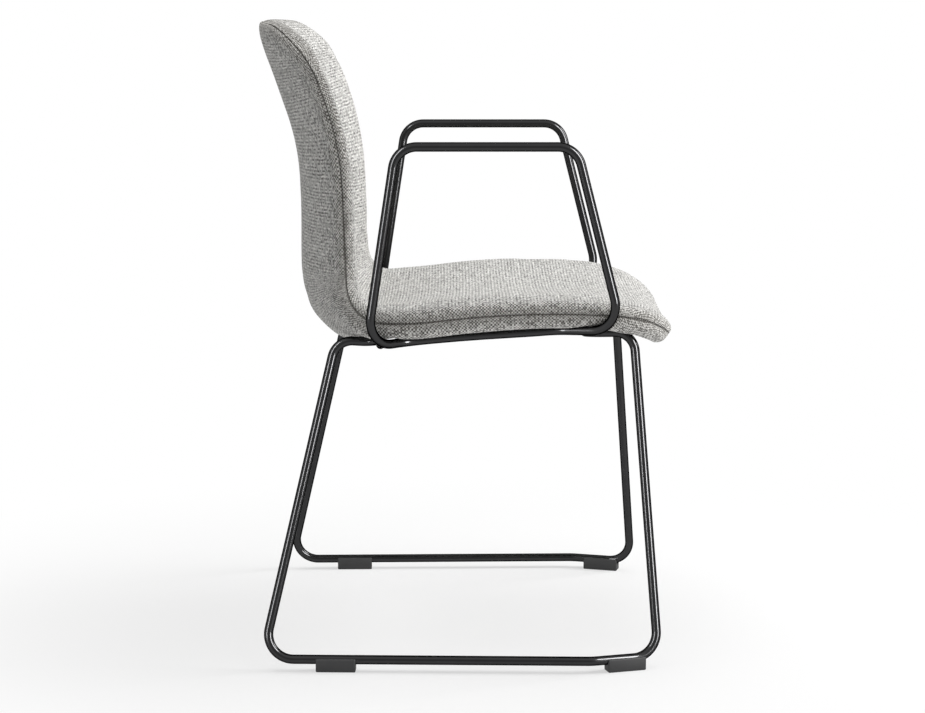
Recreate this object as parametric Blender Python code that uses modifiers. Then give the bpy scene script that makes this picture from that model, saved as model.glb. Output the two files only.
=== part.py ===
"""Dining armchair: an upholstered one-piece shell on a bent-rod sled frame with two closed arm loops.

Units are metres, +Z is up, the chair faces -Y and is symmetric about X = 0.
The frame stands on Z = 0, and the origin lies under the middle of the chair's plan.
"""

import math

import bmesh
import bpy
from mathutils import Matrix, Vector
from mathutils.bvhtree import BVHTree

# Clearances
FIT_GAP = 0.0003
SCREW_CLEARANCE = 0.0003
GLIDE_SIDE_CLEARANCE = 0.0006
SHELL_CLEARANCE = 0.0006

# Shell profile along the middle plane, as arcs from the nose to the top of the back
BEND_START_Y = 0.1016
BEND_START_HEIGHT = 0.4161
BEND_START_ANGLE = math.radians(-10.85)
NOSE_RADIUS = 0.1121
NOSE_TURN = math.radians(30.17)
SEAT_ARCH_RADIUS = 1.160
SEAT_ARCH_TURN = math.radians(15.53)
SEAT_BACK_RADIUS = 0.0860
LUMBAR_LEAN = math.radians(2.15)
LUMBAR_LENGTH = 0.1108
UPPER_BACK_RADIUS = 0.325
UPPER_BACK_TURN = math.radians(17.58)
TOP_LENGTH = 0.1181

# Shell plan: half widths, rounded corners, bowed ends and cross curvature
SEAT_HALF_WIDTH = 0.249
BACK_HALF_WIDTH = 0.2026
TOP_HALF_WIDTH = 0.2093
FRONT_CORNER_RADIUS = 0.1112
TOP_CORNER_RADIUS = 0.0971
FRONT_BOW = 0.0218
TOP_BOW = 0.0275
BOW_REACH = 0.15
SEAT_SAG = 0.0200
BACK_SAG = 0.0546
WAIST_BEFORE_BEND = 0.06
WAIST_AFTER_BEND = 0.02
SAG_BEFORE_BEND = 0.0715

# Shell layers: plywood core between a front pad and a rear pad, sewn together round the edge
CORE_THICKNESS = 0.010
CORE_INSET = 0.008
FRONT_PAD_SEAT = 0.0204
FRONT_PAD_BACK = 0.0209
REAR_PAD_NOSE = 0.0215
REAR_PAD_SEAT = 0.0198
REAR_PAD_BACK = 0.0104
NOSE_PAD_START = 0.02
NOSE_PAD_END = 0.09
BACK_PAD_DELAY = 0.05
FRONT_PAD_CROWN = 0.005
REAR_PAD_CROWN = 0.002
FRONT_CROWN_REACH = 0.11
REAR_CROWN_REACH = 0.028
UNDERSIDE_HOLLOW = 0.0115
HOLLOW_FADE_START = 0.0
HOLLOW_FADE_END = 0.06
FRONT_ROLL_WIDTH = 0.020
REAR_ROLL_WIDTH = 0.014
EDGE_TUCK_ANGLE = math.radians(30.0)

# Round steel rod of the sled and of the arms
ROD_RADIUS = 0.006

# Sled side loop: widths measured from the seat's edge, heights from the shell's bend
RUN_INSET = 0.052
RAIL_REAR_SPREAD = 0.0246
RAIL_TOE_SPREAD = 0.0355
RAIL_FRONT_SPREAD = 0.010
RAIL_REAR_Y = 0.2566
RAIL_TOE_Y = -0.1656
RAIL_FRONT_Y = -0.2518
REAR_LEG_TOP_Y = 0.1628
REAR_LEG_TOP_RISE = 0.0007
REAR_RUN_END_RISE = -0.0025
FRONT_LEG_TOP_Y = -0.2203
FRONT_LEG_TOP_RISE = 0.0128
FRONT_RUN_END_RISE = 0.0119
FLOOR_BEND_RADIUS = 0.032
TOE_BEND_RADIUS = 0.045
LEG_TOP_BEND_RADIUS = 0.026

# Cross bars that turn inward from the runs and carry the shell
REAR_CROSS_BAR_Y = 0.1081
FRONT_CROSS_BAR_Y = -0.1586
CROSS_BAR_FLAT_HALF_LENGTH = 0.135
CROSS_BAR_BEND_RADIUS = 0.026

# Arm loop: widths measured from the seat's edge
ARM_SPREAD = 0.0144
ARM_BAR_INSET = 0.030
ARM_TOP_HEIGHT = 0.6691
ARM_TOP_REAR_Y = 0.083
ARM_TOP_FRONT_Y = -0.1423
ARM_FOOT_REAR_Y = 0.1215
ARM_FOOT_FRONT_Y = -0.2035
ARM_BAR_REAR_Y = 0.082
ARM_BAR_FRONT_Y = -0.140
ARM_BAR_RISE = 0.0150
ARM_BAR_BOW = 0.0020
ARM_REAR_FOOT_DROP = 0.003
ARM_FRONT_FOOT_DROP = 0.005
ARM_BEND_RADIUS = 0.030

# Welded plates on the cross bars and tabs on the arm bars, which hold the shell
PLATE_X = 0.100
PLATE_LENGTH = 0.044
PLATE_THICKNESS = 0.003
PLATE_SCREW_OFFSET = 0.022
PLATE_END_MARGIN = 0.013
PLATE_CORNER_RADIUS = 0.004
TAB_INSET = 0.055
TAB_REAR_Y = 0.066
TAB_FRONT_Y = -0.112
TAB_WIDTH = 0.024
TAB_THICKNESS = 0.004
TAB_END_MARGIN = 0.013

# Screws and tee nuts
SCREW_RADIUS = 0.003
SCREW_HEAD_BRIM = 0.0025
SCREW_HEAD_HEIGHT = 0.0035
SOCKET_RADIUS = 0.002
SOCKET_DEPTH = 0.002
NUT_WALL = 0.0014
NUT_FLANGE_BRIM = 0.0038
NUT_FLANGE_THICKNESS = 0.0012
NUT_RECESS = 0.0026
NUT_END_RECESS = 0.0012

# Glides clipped under the rails
GLIDE_LENGTH = 0.051
GLIDE_WALL = 0.0024
GLIDE_FOOT = 0.0085
GLIDE_WRAP = 0.0025
GLIDE_EDGE = 0.0015
REAR_GLIDE_SETBACK = 0.0946
FRONT_GLIDE_SHARE = 0.50

# Fineness of the meshes
COLUMNS = 6
ROW_TURN = math.radians(18.0)
ROW_LENGTH = 0.055
ROW_MARGIN = 0.008
ROD_BEVEL_RESOLUTION = 3
BEND_STEP = math.radians(15.0)
TURNED_STEPS = 12
CHANNEL_STEPS = 20
GLIDE_EDGE_STEPS = 2
ARM_BAR_SPANS = 6
ROOM_SAMPLES = 20
SEAT_SAMPLES = 4
SHARP_ANGLE = math.radians(35.0)
NORMAL_STEP = 0.0005
WELD_DISTANCE = 0.000001
CENTRE_TOLERANCE = 0.0001
CUTTER_OVERSHOOT = 0.004

SIDES = {"right": -1.0, "left": 1.0}


def clear_scene():
    for old in list(bpy.data.objects):
        bpy.data.objects.remove(old, do_unlink=True)


def make_collection(name):
    collection = bpy.data.collections.new(name)
    bpy.context.scene.collection.children.link(collection)
    return collection


def make_material(name, colour, roughness, metallic):
    material = bpy.data.materials.new(name)
    material.use_nodes = True
    shader = material.node_tree.nodes["Principled BSDF"]
    shader.inputs["Base Color"].default_value = (*colour, 1.0)
    shader.inputs["Roughness"].default_value = roughness
    shader.inputs["Metallic"].default_value = metallic
    return material


def add_object(name, data, material, collection, matrix=None):
    item = bpy.data.objects.new(name, data)
    data.materials.append(material)
    collection.objects.link(item)
    item.parent = root
    if matrix is not None:
        item.matrix_local = matrix
    return item


def add_mesh(name, bm, material, collection, matrix=None):
    mesh = bpy.data.meshes.new(name)
    bm.to_mesh(mesh)
    bm.free()
    mesh.shade_smooth()
    mesh.set_sharp_from_angle(angle=SHARP_ANGLE)
    return add_object(name, mesh, material, collection, matrix)


# Bent rods


def filleted(points, radii):
    """Return the path through the points with each corner replaced by an arc of its radius."""
    count = len(points)
    path = []
    for i, corner in enumerate(points):
        radius = radii[i]
        if radius is None:
            path.append(corner)
            continue
        back = (points[i - 1] - corner).normalized()
        ahead = (points[(i + 1) % count] - corner).normalized()
        turn = math.pi - back.angle(ahead)
        middle = (back + ahead).normalized()
        centre = corner + middle * radius / math.cos(turn / 2.0)
        start = corner + back * radius * math.tan(turn / 2.0) - centre
        axis = back.cross(ahead)
        steps = max(2, math.ceil(turn / BEND_STEP))
        for k in range(steps + 1):
            spin = Matrix.Rotation(-turn * k / steps, 3, axis)
            path.append(centre + spin @ start)
    return path


def add_rod(name, path, closed, material):
    curve = bpy.data.curves.new(name, "CURVE")
    curve.dimensions = "3D"
    curve.bevel_depth = ROD_RADIUS
    curve.bevel_resolution = ROD_BEVEL_RESOLUTION
    curve.render_resolution_u = 0
    curve.use_fill_caps = True
    spline = curve.splines.new("POLY")
    spline.points.add(len(path) - 1)
    for point, place in zip(spline.points, path):
        point.co = (*place, 1.0)
    spline.use_cyclic_u = closed
    return add_object(name, curve, material, parts)


def mirrored(points, side):
    return [Vector((side * p.x, p.y, p.z)) for p in points]


# Shell surface


def smooth_step(value, low, high):
    share = min(1.0, max(0.0, (value - low) / (high - low)))
    return share * share * (3.0 - 2.0 * share)


class Profile:
    """Middle-plane curve of the shell: a chain of arcs and straights, read by length from the nose."""

    def __init__(self):
        lumbar_heading = math.pi / 2.0 - LUMBAR_LEAN
        bend_turn = lumbar_heading - BEND_START_ANGLE
        self.pieces = [
            (NOSE_RADIUS * NOSE_TURN, -NOSE_TURN),
            (SEAT_ARCH_RADIUS * SEAT_ARCH_TURN, -SEAT_ARCH_TURN),
            (SEAT_BACK_RADIUS * bend_turn, bend_turn),
            (LUMBAR_LENGTH, 0.0),
            (UPPER_BACK_RADIUS * UPPER_BACK_TURN, -UPPER_BACK_TURN),
            (TOP_LENGTH, 0.0),
        ]
        self.starts = [0.0]
        for length, _ in self.pieces:
            self.starts.append(self.starts[-1] + length)
        self.length = self.starts[-1]
        self.seat_end = self.starts[2]
        self.bend_end = self.starts[3]
        heading = BEND_START_ANGLE + SEAT_ARCH_TURN + NOSE_TURN
        place = Vector((0.0, 0.0))
        self.frames = []
        for length, turn in self.pieces:
            self.frames.append((place, heading))
            place = self.step(place, heading, length, turn, length)
            heading += turn
        shift = Vector((BEND_START_Y, BEND_START_HEIGHT)) - self.frames[2][0]
        self.frames = [(place + shift, heading) for place, heading in self.frames]

    @staticmethod
    def step(place, heading, length, turn, along):
        if turn == 0.0:
            return place + Vector((math.cos(heading), math.sin(heading))) * along
        radius = length / turn
        swing = heading + turn * along / length
        return place + Vector(
            (math.sin(swing) - math.sin(heading), math.cos(heading) - math.cos(swing))
        ) * radius

    def at(self, s):
        """Return the point (Y, Z) at length s and the front-side normal there."""
        index = max(i for i in range(len(self.pieces)) if i == 0 or s >= self.starts[i])
        length, turn = self.pieces[index]
        place, heading = self.frames[index]
        along = s - self.starts[index]
        swing = heading + turn * along / length
        point = self.step(place, heading, length, turn, along)
        return point, Vector((-math.sin(swing), math.cos(swing)))

    def rows(self):
        """Lengths of the grid's rows: edge rings at both ends and steps small enough for each arc between."""
        rings = edge_rings()
        steps = set()
        for (length, turn), start in zip(self.pieces, self.starts):
            count = max(1, math.ceil(abs(turn) / ROW_TURN), math.ceil(length / ROW_LENGTH))
            steps.update(start + length * k / count for k in range(count))
        margin = rings[-1] + ROW_MARGIN
        inner = sorted(s for s in steps if margin < s < self.length - margin)
        return rings + inner + [self.length - d for d in reversed(rings)]


def edge_rings():
    """Distances from the shell's outline at which the grid follows the edge."""
    return [0.0, CORE_INSET / 2.0, CORE_INSET, REAR_ROLL_WIDTH, FRONT_ROLL_WIDTH]


def square_half_width(s):
    """Half width of the shell at length s before its corners are rounded."""
    waist = smooth_step(s, profile.seat_end - WAIST_BEFORE_BEND, profile.bend_end + WAIST_AFTER_BEND)
    width = SEAT_HALF_WIDTH + (BACK_HALF_WIDTH - SEAT_HALF_WIDTH) * waist
    taper = smooth_step(s, profile.bend_end, profile.length)
    return width + (TOP_HALF_WIDTH - BACK_HALF_WIDTH) * taper


def half_width(s):
    """Half width of the shell at length s, with its rounded corners."""
    width = square_half_width(s)
    for radius, inset in ((FRONT_CORNER_RADIUS, s), (TOP_CORNER_RADIUS, profile.length - s)):
        if inset < radius:
            width += math.sqrt(max(0.0, radius**2 - (radius - inset) ** 2)) - radius
    return width


def edge_distance(s, x):
    """Return the distance from the outline and the outward direction (along s, along x)."""
    side = square_half_width(s) - abs(x)
    sign = 1.0 if x >= 0.0 else -1.0
    front_is_near = s < profile.length / 2.0
    end = s if front_is_near else profile.length - s
    out_s = -1.0 if front_is_near else 1.0
    radius = FRONT_CORNER_RADIUS if front_is_near else TOP_CORNER_RADIUS
    if side < radius and end < radius:
        run = radius - end
        reach = radius - side
        span = math.hypot(run, reach)
        return radius - span, (out_s * run / span, sign * reach / span)
    if side < end:
        return side, (0.0, sign)
    return end, (out_s, 0.0)


def middle_surface(s, x):
    """Point of the core's middle surface: the profile, bent forward and up toward the side edges."""
    share = (x / square_half_width(s)) ** 2
    front = max(0.0, 1.0 - s / BOW_REACH)
    top = max(0.0, 1.0 - (profile.length - s) / BOW_REACH)
    bowed = s + share * (FRONT_BOW * front**2 - TOP_BOW * top**2)
    point, normal = profile.at(bowed)
    blend = smooth_step(s, profile.seat_end - SAG_BEFORE_BEND, profile.bend_end)
    lift = (SEAT_SAG + (BACK_SAG - SEAT_SAG) * blend) * share
    point = point + normal * lift
    return Vector((x, point.x, point.y))


def surface_normal(s, x):
    """Unit normal of the middle surface on its front side."""
    along = middle_surface(s + NORMAL_STEP, x) - middle_surface(s - NORMAL_STEP, x)
    across = middle_surface(s, x + NORMAL_STEP) - middle_surface(s, x - NORMAL_STEP)
    return across.cross(along).normalized()


def front_thickness(s):
    blend = smooth_step(s, profile.seat_end, profile.bend_end)
    return FRONT_PAD_SEAT + (FRONT_PAD_BACK - FRONT_PAD_SEAT) * blend


def rear_thickness(s):
    nose = 1.0 - smooth_step(s, NOSE_PAD_START, NOSE_PAD_END)
    back = smooth_step(s, profile.seat_end + BACK_PAD_DELAY, profile.bend_end)
    return REAR_PAD_SEAT + (REAR_PAD_NOSE - REAR_PAD_SEAT) * nose + (REAR_PAD_BACK - REAR_PAD_SEAT) * back


def front_edge(s):
    """Edge roll's width, and the crown behind it with its reach."""
    return FRONT_ROLL_WIDTH, FRONT_PAD_CROWN, FRONT_CROWN_REACH


def rear_edge(s):
    """The same for the rear pad, which is hollow under the seat and slightly raised on the back."""
    back = smooth_step(s, profile.seat_end + HOLLOW_FADE_START, profile.seat_end + HOLLOW_FADE_END)
    crown = -UNDERSIDE_HOLLOW + (REAR_PAD_CROWN + UNDERSIDE_HOLLOW) * back
    return REAR_ROLL_WIDTH, crown, REAR_CROWN_REACH


def pad_outside(s, x, thickness, edge, facing):
    """Point on a pad's cover: it leaves the seam under a tuck, rolls round the edge and rises to a crown."""
    inset, outward = edge_distance(s, x)
    width, crown, reach = edge
    seam = FIT_GAP / 2.0
    if inset < width:
        sweep = (math.pi / 2.0 + EDGE_TUCK_ANGLE) * inset / width - EDGE_TUCK_ANGLE
        roll = width / math.cos(EDGE_TUCK_ANGLE)
        shift = inset - width + roll * math.cos(sweep)
        s += outward[0] * shift
        x += outward[1] * shift
        rise = (math.sin(sweep) + math.sin(EDGE_TUCK_ANGLE)) / (1.0 + math.sin(EDGE_TUCK_ANGLE))
        height = seam + (thickness - seam) * rise
    else:
        swell = min(1.0, (inset - width) / reach)
        height = thickness + crown * swell * (2.0 - swell)
    return middle_surface(s, x) + surface_normal(s, x) * height * facing


def layer_height(s, x):
    """Height of a pad's inner face over the middle surface: on the core, and down to the seam outside it."""
    inset, _ = edge_distance(s, x)
    ramp = min(1.0, max(0.0, inset) / CORE_INSET)
    return FIT_GAP / 2.0 + (CORE_THICKNESS / 2.0 + FIT_GAP / 2.0) * ramp


def grid_columns(s):
    """Cross positions of the grid at length s: edge rings at both sides and even steps between."""
    width = half_width(s)
    rings = edge_rings()
    inner = width - rings[-1]
    right = [-(width - d) for d in rings]
    left = [width - d for d in reversed(rings)]
    middle = [inner * (2.0 * k / COLUMNS - 1.0) for k in range(1, COLUMNS)]
    return right + middle + left


def add_sheet(bm, places, inset_rings, place):
    """Add a grid whose points come from place(s, x), leaving out the given edge rings.

    Its diagonals run toward the corners, so that two sheets sewn along their rims share no inner edge.
    """
    last = len(places) - 1 - inset_rings
    wide = len(places[0][1]) - 1 - inset_rings
    tall_count = last - inset_rings
    wide_count = wide - inset_rings
    made = bmesh.ops.create_grid(bm, x_segments=wide_count, y_segments=tall_count, size=1.0)
    faces = {face for vert in made["verts"] for face in vert.link_faces}
    middles = {face: face.calc_center_median() for face in faces}
    rising = [face for face in faces if middles[face].x * middles[face].y > CENTRE_TOLERANCE]
    falling = [face for face in faces if face not in rising]
    bmesh.ops.triangulate(bm, faces=rising, quad_method="FIXED")
    bmesh.ops.triangulate(bm, faces=falling, quad_method="ALTERNATE")
    for vert in made["verts"]:
        column = round((vert.co.x + 1.0) / 2.0 * wide_count) + inset_rings
        row = round((vert.co.y + 1.0) / 2.0 * tall_count) + inset_rings
        s, columns = places[row]
        vert.co = place(s, columns[column])


def close_sheets(bm, bridge):
    """Join two sheets into one closed body along their rims."""
    if bridge:
        rim = [edge for edge in bm.edges if edge.is_boundary]
        bmesh.ops.bridge_loops(bm, edges=rim)
        bmesh.ops.triangulate(bm, faces=bm.faces[:])
    else:
        bmesh.ops.remove_doubles(bm, verts=bm.verts[:], dist=WELD_DISTANCE)
    bmesh.ops.recalc_face_normals(bm, faces=bm.faces[:])


def inner_face(facing):
    def place(s, x):
        return middle_surface(s, x) + surface_normal(s, x) * layer_height(s, x) * facing

    return place


def build_pad(facing, thickness, edge):
    bm = bmesh.new()

    def cover(s, x):
        return pad_outside(s, x, thickness(s), edge(s), facing)

    add_sheet(bm, grid, 0, cover)
    add_sheet(bm, grid, 0, inner_face(facing))
    close_sheets(bm, bridge=False)
    return bm


def build_core():
    bm = bmesh.new()
    for facing in (1.0, -1.0):

        def face(s, x, facing=facing):
            return middle_surface(s, x) + surface_normal(s, x) * (layer_height(s, x) - FIT_GAP) * facing

        add_sheet(bm, grid, edge_rings().index(CORE_INSET), face)
    close_sheets(bm, bridge=True)
    return bm


# Seats for the rods, plates and tabs under the shell


def underside(x, y):
    """Height of the shell's underside over a point of the floor, without end where no shell lies over it."""
    place = belly.ray_cast(Vector((x, y, 0.0)), Vector((0.0, 0.0, 1.0)))[0]
    return place.z if place else math.inf


def rod_room(start, finish):
    """Least height left between a straight rod and the shell over it."""
    way = finish - start
    aside = Vector((-way.y, way.x, 0.0)).normalized() * ROD_RADIUS
    room = []
    for k in range(ROOM_SAMPLES + 1):
        middle = start + way * k / ROOM_SAMPLES
        for across in (-1.0, -0.5, 0.0, 0.5, 1.0):
            place = middle + aside * across
            rod_top = middle.z + ROD_RADIUS * math.sqrt(1.0 - across**2)
            room.append(underside(place.x, place.y) - rod_top)
    return min(room)


def path_room(path):
    """Least height left between a bent rod and the shell over it."""
    return min(rod_room(first, second) for first, second in zip(path, path[1:]))


def seat_plane(x_low, x_high, y_low, y_high, slope_x, slope_y):
    """Height at x = y = 0 of the highest plane of these slopes under the shell over a rectangle."""
    heights = []
    for i in range(SEAT_SAMPLES + 1):
        for j in range(SEAT_SAMPLES + 1):
            x = x_low + (x_high - x_low) * i / SEAT_SAMPLES
            y = y_low + (y_high - y_low) * j / SEAT_SAMPLES
            heights.append(underside(x, y) - slope_x * x - slope_y * y)
    return min(heights) - FIT_GAP


def plane_frame(x, y, z, slope_x, slope_y):
    """Matrix of a flat piece whose top lies in a sloped plane, with local Z as its normal."""
    across = Vector((1.0, 0.0, slope_x)).normalized()
    normal = Vector((-slope_x, -slope_y, 1.0)).normalized()
    along = normal.cross(across)
    frame = Matrix((across, along, normal)).transposed().to_4x4()
    frame.translation = Vector((x, y, z))
    return frame


def add_flat_plate(name, low_x, high_x, low_y, high_y, thickness, frame, material):
    """Add a plate with rounded corners and a screw hole at its local origin; its top is at local Z = 0."""
    curve = bpy.data.curves.new(name, "CURVE")
    curve.dimensions = "2D"
    curve.fill_mode = "BOTH"
    curve.extrude = thickness / 2.0
    curve.render_resolution_u = 0
    corners = [(low_x, low_y), (high_x, low_y), (high_x, high_y), (low_x, high_y)]
    outline = filleted([Vector((*c, 0.0)) for c in corners], [PLATE_CORNER_RADIUS] * len(corners))
    hole = SCREW_RADIUS + SCREW_CLEARANCE
    turns = [2.0 * math.pi * k / TURNED_STEPS for k in range(TURNED_STEPS)]
    circle = [Vector((hole * math.cos(t), hole * math.sin(t), 0.0)) for t in turns]
    for loop in (outline, circle):
        spline = curve.splines.new("POLY")
        spline.points.add(len(loop) - 1)
        for point, place in zip(spline.points, loop):
            point.co = (*place, 1.0)
        spline.use_cyclic_u = True
    return add_object(name, curve, material, parts, frame @ Matrix.Translation((0, 0, -thickness / 2.0)))


def add_turned(name, outline, material, frame, closed):
    """Add a turned piece from an outline of (radius, height) points run down its outer side."""
    bm = bmesh.new()
    verts = [bm.verts.new((radius, 0.0, height)) for radius, height in outline]
    for first, second in zip(verts, verts[1:]):
        bm.edges.new((first, second))
    if closed:
        bm.edges.new((verts[-1], verts[0]))
    item = add_mesh(name, bm, material, parts, frame)
    screw = item.modifiers.new("turn", "SCREW")
    screw.steps = TURNED_STEPS
    screw.render_steps = TURNED_STEPS
    screw.use_merge_vertices = True
    screw.merge_threshold = WELD_DISTANCE
    screw.use_smooth_shade = False
    return item


def add_cutter(name, radius, low, high, frame, collection):
    bm = bmesh.new()
    bmesh.ops.create_cone(
        bm, cap_ends=True, segments=TURNED_STEPS, radius1=radius, radius2=radius, depth=high - low
    )
    cutter = add_mesh(name, bm, steel, collection, frame @ Matrix.Translation((0, 0, (low + high) / 2.0)))
    cutter.hide_render = True
    cutter.display_type = "WIRE"
    return cutter


def add_fixing(name, frame, plate_thickness):
    """Add the screw and tee nut that pull the shell onto a plate; the frame's Z runs up through the shell."""
    normal = frame.to_3x3() @ Vector((0.0, 0.0, 1.0))
    base = frame.translation
    rear = (core_tree.ray_cast(base, normal)[0] - base).length
    front = (core_tree.ray_cast(base + normal * (rear + FIT_GAP), normal)[0] - base).length
    flange = front - NUT_RECESS
    over = front + CUTTER_OVERSHOOT
    bore = SCREW_RADIUS + SCREW_CLEARANCE
    barrel = bore + NUT_WALL
    brim = barrel + NUT_FLANGE_BRIM
    add_cutter(name + "_barrel", barrel + FIT_GAP, rear - CUTTER_OVERSHOOT, over, frame, core_cutters)
    add_cutter(name + "_recess", brim + FIT_GAP, flange - FIT_GAP, over, frame, core_cutters)
    add_cutter(name + "_passage", bore, -CUTTER_OVERSHOOT, rear + CUTTER_OVERSHOOT, frame, pad_cutters)
    nut_outline = [
        (bore, flange + NUT_FLANGE_THICKNESS),
        (brim, flange + NUT_FLANGE_THICKNESS),
        (brim, flange),
        (barrel, flange),
        (barrel, rear + NUT_END_RECESS),
        (bore, rear + NUT_END_RECESS),
    ]
    add_turned("tee_nut_" + name, nut_outline, zinc, frame, closed=True)
    head_top = -plate_thickness - FIT_GAP
    head_bottom = head_top - SCREW_HEAD_HEIGHT
    head = SCREW_RADIUS + SCREW_HEAD_BRIM
    head_chamfer = SCREW_HEAD_HEIGHT / 3.0
    screw_outline = [
        (0.0, flange),
        (SCREW_RADIUS, flange),
        (SCREW_RADIUS, head_top),
        (head, head_top),
        (head, head_bottom + head_chamfer),
        (head - head_chamfer, head_bottom),
        (SOCKET_RADIUS, head_bottom),
        (SOCKET_RADIUS, head_bottom + SOCKET_DEPTH),
        (0.0, head_bottom + SOCKET_DEPTH),
    ]
    add_turned("screw_" + name, screw_outline, zinc, frame, closed=False)


def cut_with(item, collection):
    cut = item.modifiers.new("holes", "BOOLEAN")
    cut.operation = "DIFFERENCE"
    cut.operand_type = "COLLECTION"
    cut.collection = collection


clear_scene()
parts = make_collection("dining_armchair")
core_cutters = make_collection("core_cutters")
pad_cutters = make_collection("pad_cutters")
glide_cutters = make_collection("glide_cutters")
root = bpy.data.objects.new("chair_origin", None)
parts.objects.link(root)

fabric = make_material("heathered_fabric", (0.50, 0.49, 0.47), 0.95, 0.0)
rear_fabric = make_material("heathered_fabric_rear", (0.46, 0.45, 0.43), 0.95, 0.0)
plywood = make_material("plywood", (0.55, 0.38, 0.22), 0.6, 0.0)
black_rod = make_material("black_powder_coat", (0.02, 0.02, 0.02), 0.35, 0.0)
steel = make_material("black_plate", (0.025, 0.025, 0.025), 0.45, 0.0)
zinc = make_material("zinc_plate", (0.55, 0.55, 0.56), 0.35, 1.0)
plastic = make_material("black_plastic", (0.02, 0.02, 0.02), 0.6, 0.0)

# Upholstered shell
profile = Profile()
grid = [(s, grid_columns(s)) for s in profile.rows()]
core_bm = build_core()
core_tree = BVHTree.FromBMesh(core_bm)
front_bm = build_pad(1.0, front_thickness, front_edge)
rear_bm = build_pad(-1.0, rear_thickness, rear_edge)
belly = BVHTree.FromBMesh(rear_bm)
front_edge_y = min(vert.co.y for vert in front_bm.verts)
back_edge_y = max(vert.co.y for vert in rear_bm.verts)
core = add_mesh("seat_core", core_bm, plywood, parts)
front_pad = add_mesh("front_upholstery", front_bm, fabric, parts)
rear_pad = add_mesh("rear_upholstery", rear_bm, rear_fabric, parts)
cut_with(core, core_cutters)
cut_with(rear_pad, pad_cutters)

# Plates on the cross bars, whose height follows from the shell's underside
cross_bar_heights = {}
for end, bar_y, inward in (("rear", REAR_CROSS_BAR_Y, -1.0), ("front", FRONT_CROSS_BAR_Y, 1.0)):
    screw_y = bar_y + inward * PLATE_SCREW_OFFSET
    inner_y = screw_y + inward * PLATE_END_MARGIN
    outer_y = bar_y - inward * ROD_RADIUS
    slope = (underside(PLATE_X, inner_y) - underside(PLATE_X, bar_y)) / (inner_y - bar_y)
    x_span = (PLATE_X - PLATE_LENGTH / 2.0, PLATE_X + PLATE_LENGTH / 2.0)
    level = seat_plane(*x_span, min(inner_y, outer_y), max(inner_y, outer_y), 0.0, slope)
    tilt = math.hypot(1.0, slope)
    stack = (PLATE_THICKNESS + FIT_GAP + ROD_RADIUS) * tilt
    room = rod_room(Vector((0.0, bar_y, 0.0)), Vector((CROSS_BAR_FLAT_HALF_LENGTH, bar_y, 0.0)))
    bar_height = min(level + slope * bar_y - stack, room - SHELL_CLEARANCE)
    level = bar_height + stack - slope * bar_y
    cross_bar_heights[end] = bar_height
    for side, sign in SIDES.items():
        frame = plane_frame(sign * PLATE_X, screw_y, level + slope * screw_y, 0.0, slope)
        reach = sorted(((inner_y - screw_y) * tilt, (outer_y - screw_y) * tilt))
        name = f"{side}_{end}"
        half = PLATE_LENGTH / 2.0
        add_flat_plate("mounting_plate_" + name, -half, half, *reach, PLATE_THICKNESS, frame, steel)
        add_fixing(f"plate_{name}", frame, PLATE_THICKNESS)

# Sled: two bent rods that meet at the middle of both cross bars, held below the shell
rail_height = GLIDE_FOOT + FIT_GAP + ROD_RADIUS
run_x = SEAT_HALF_WIDTH - RUN_INSET
rail_rear = Vector((SEAT_HALF_WIDTH + RAIL_REAR_SPREAD, RAIL_REAR_Y, rail_height))
rail_toe = Vector((SEAT_HALF_WIDTH + RAIL_TOE_SPREAD, RAIL_TOE_Y, rail_height))
rail_front = Vector((SEAT_HALF_WIDTH + RAIL_FRONT_SPREAD, RAIL_FRONT_Y, rail_height))
sled_tops = {}
for end, rail_end, bar_y, top_y, end_rise, top_rise in (
    ("rear", rail_rear, REAR_CROSS_BAR_Y, REAR_LEG_TOP_Y, REAR_RUN_END_RISE, REAR_LEG_TOP_RISE),
    ("front", rail_front, FRONT_CROSS_BAR_Y, FRONT_LEG_TOP_Y, FRONT_RUN_END_RISE, FRONT_LEG_TOP_RISE),
):
    bar_height = cross_bar_heights[end]
    bar_middle = Vector((FIT_GAP / 2.0, bar_y, bar_height))
    bar_bend = Vector((CROSS_BAR_FLAT_HALF_LENGTH, bar_y, bar_height))
    run_end = Vector((run_x, bar_y, BEND_START_HEIGHT + end_rise))
    leg_top = Vector((run_x, top_y, BEND_START_HEIGHT + top_rise))
    bends = [None, CROSS_BAR_BEND_RADIUS, LEG_TOP_BEND_RADIUS, None]
    room = path_room(filleted([bar_bend, run_end, leg_top, rail_end], bends))
    drop = Vector((0.0, 0.0, max(0.0, SHELL_CLEARANCE - room)))
    sled_tops[end] = [
        (bar_middle, None),
        (bar_bend, CROSS_BAR_BEND_RADIUS),
        (run_end - drop, CROSS_BAR_BEND_RADIUS),
        (leg_top - drop, LEG_TOP_BEND_RADIUS),
    ]
rail = [(rail_rear, FLOOR_BEND_RADIUS), (rail_toe, TOE_BEND_RADIUS), (rail_front, FLOOR_BEND_RADIUS)]
sled_corners = sled_tops["rear"] + rail + sled_tops["front"][::-1]
sled_path = filleted([corner for corner, _ in sled_corners], [radius for _, radius in sled_corners])
for side, sign in SIDES.items():
    add_rod(f"sled_{side}", mirrored(sled_path, sign), False, black_rod)

# Arm loops: closed rods whose lower bar lies under the shell's edge
bar_run = ARM_BAR_REAR_Y - ARM_BAR_FRONT_Y


def bar_shape(y):
    """Height of the lower bar over its rear end: a straight rise toward the front with a slight bow."""
    share = (ARM_BAR_REAR_Y - y) / bar_run
    return ARM_BAR_RISE * share + 4.0 * ARM_BAR_BOW * share * (1.0 - share)


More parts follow.
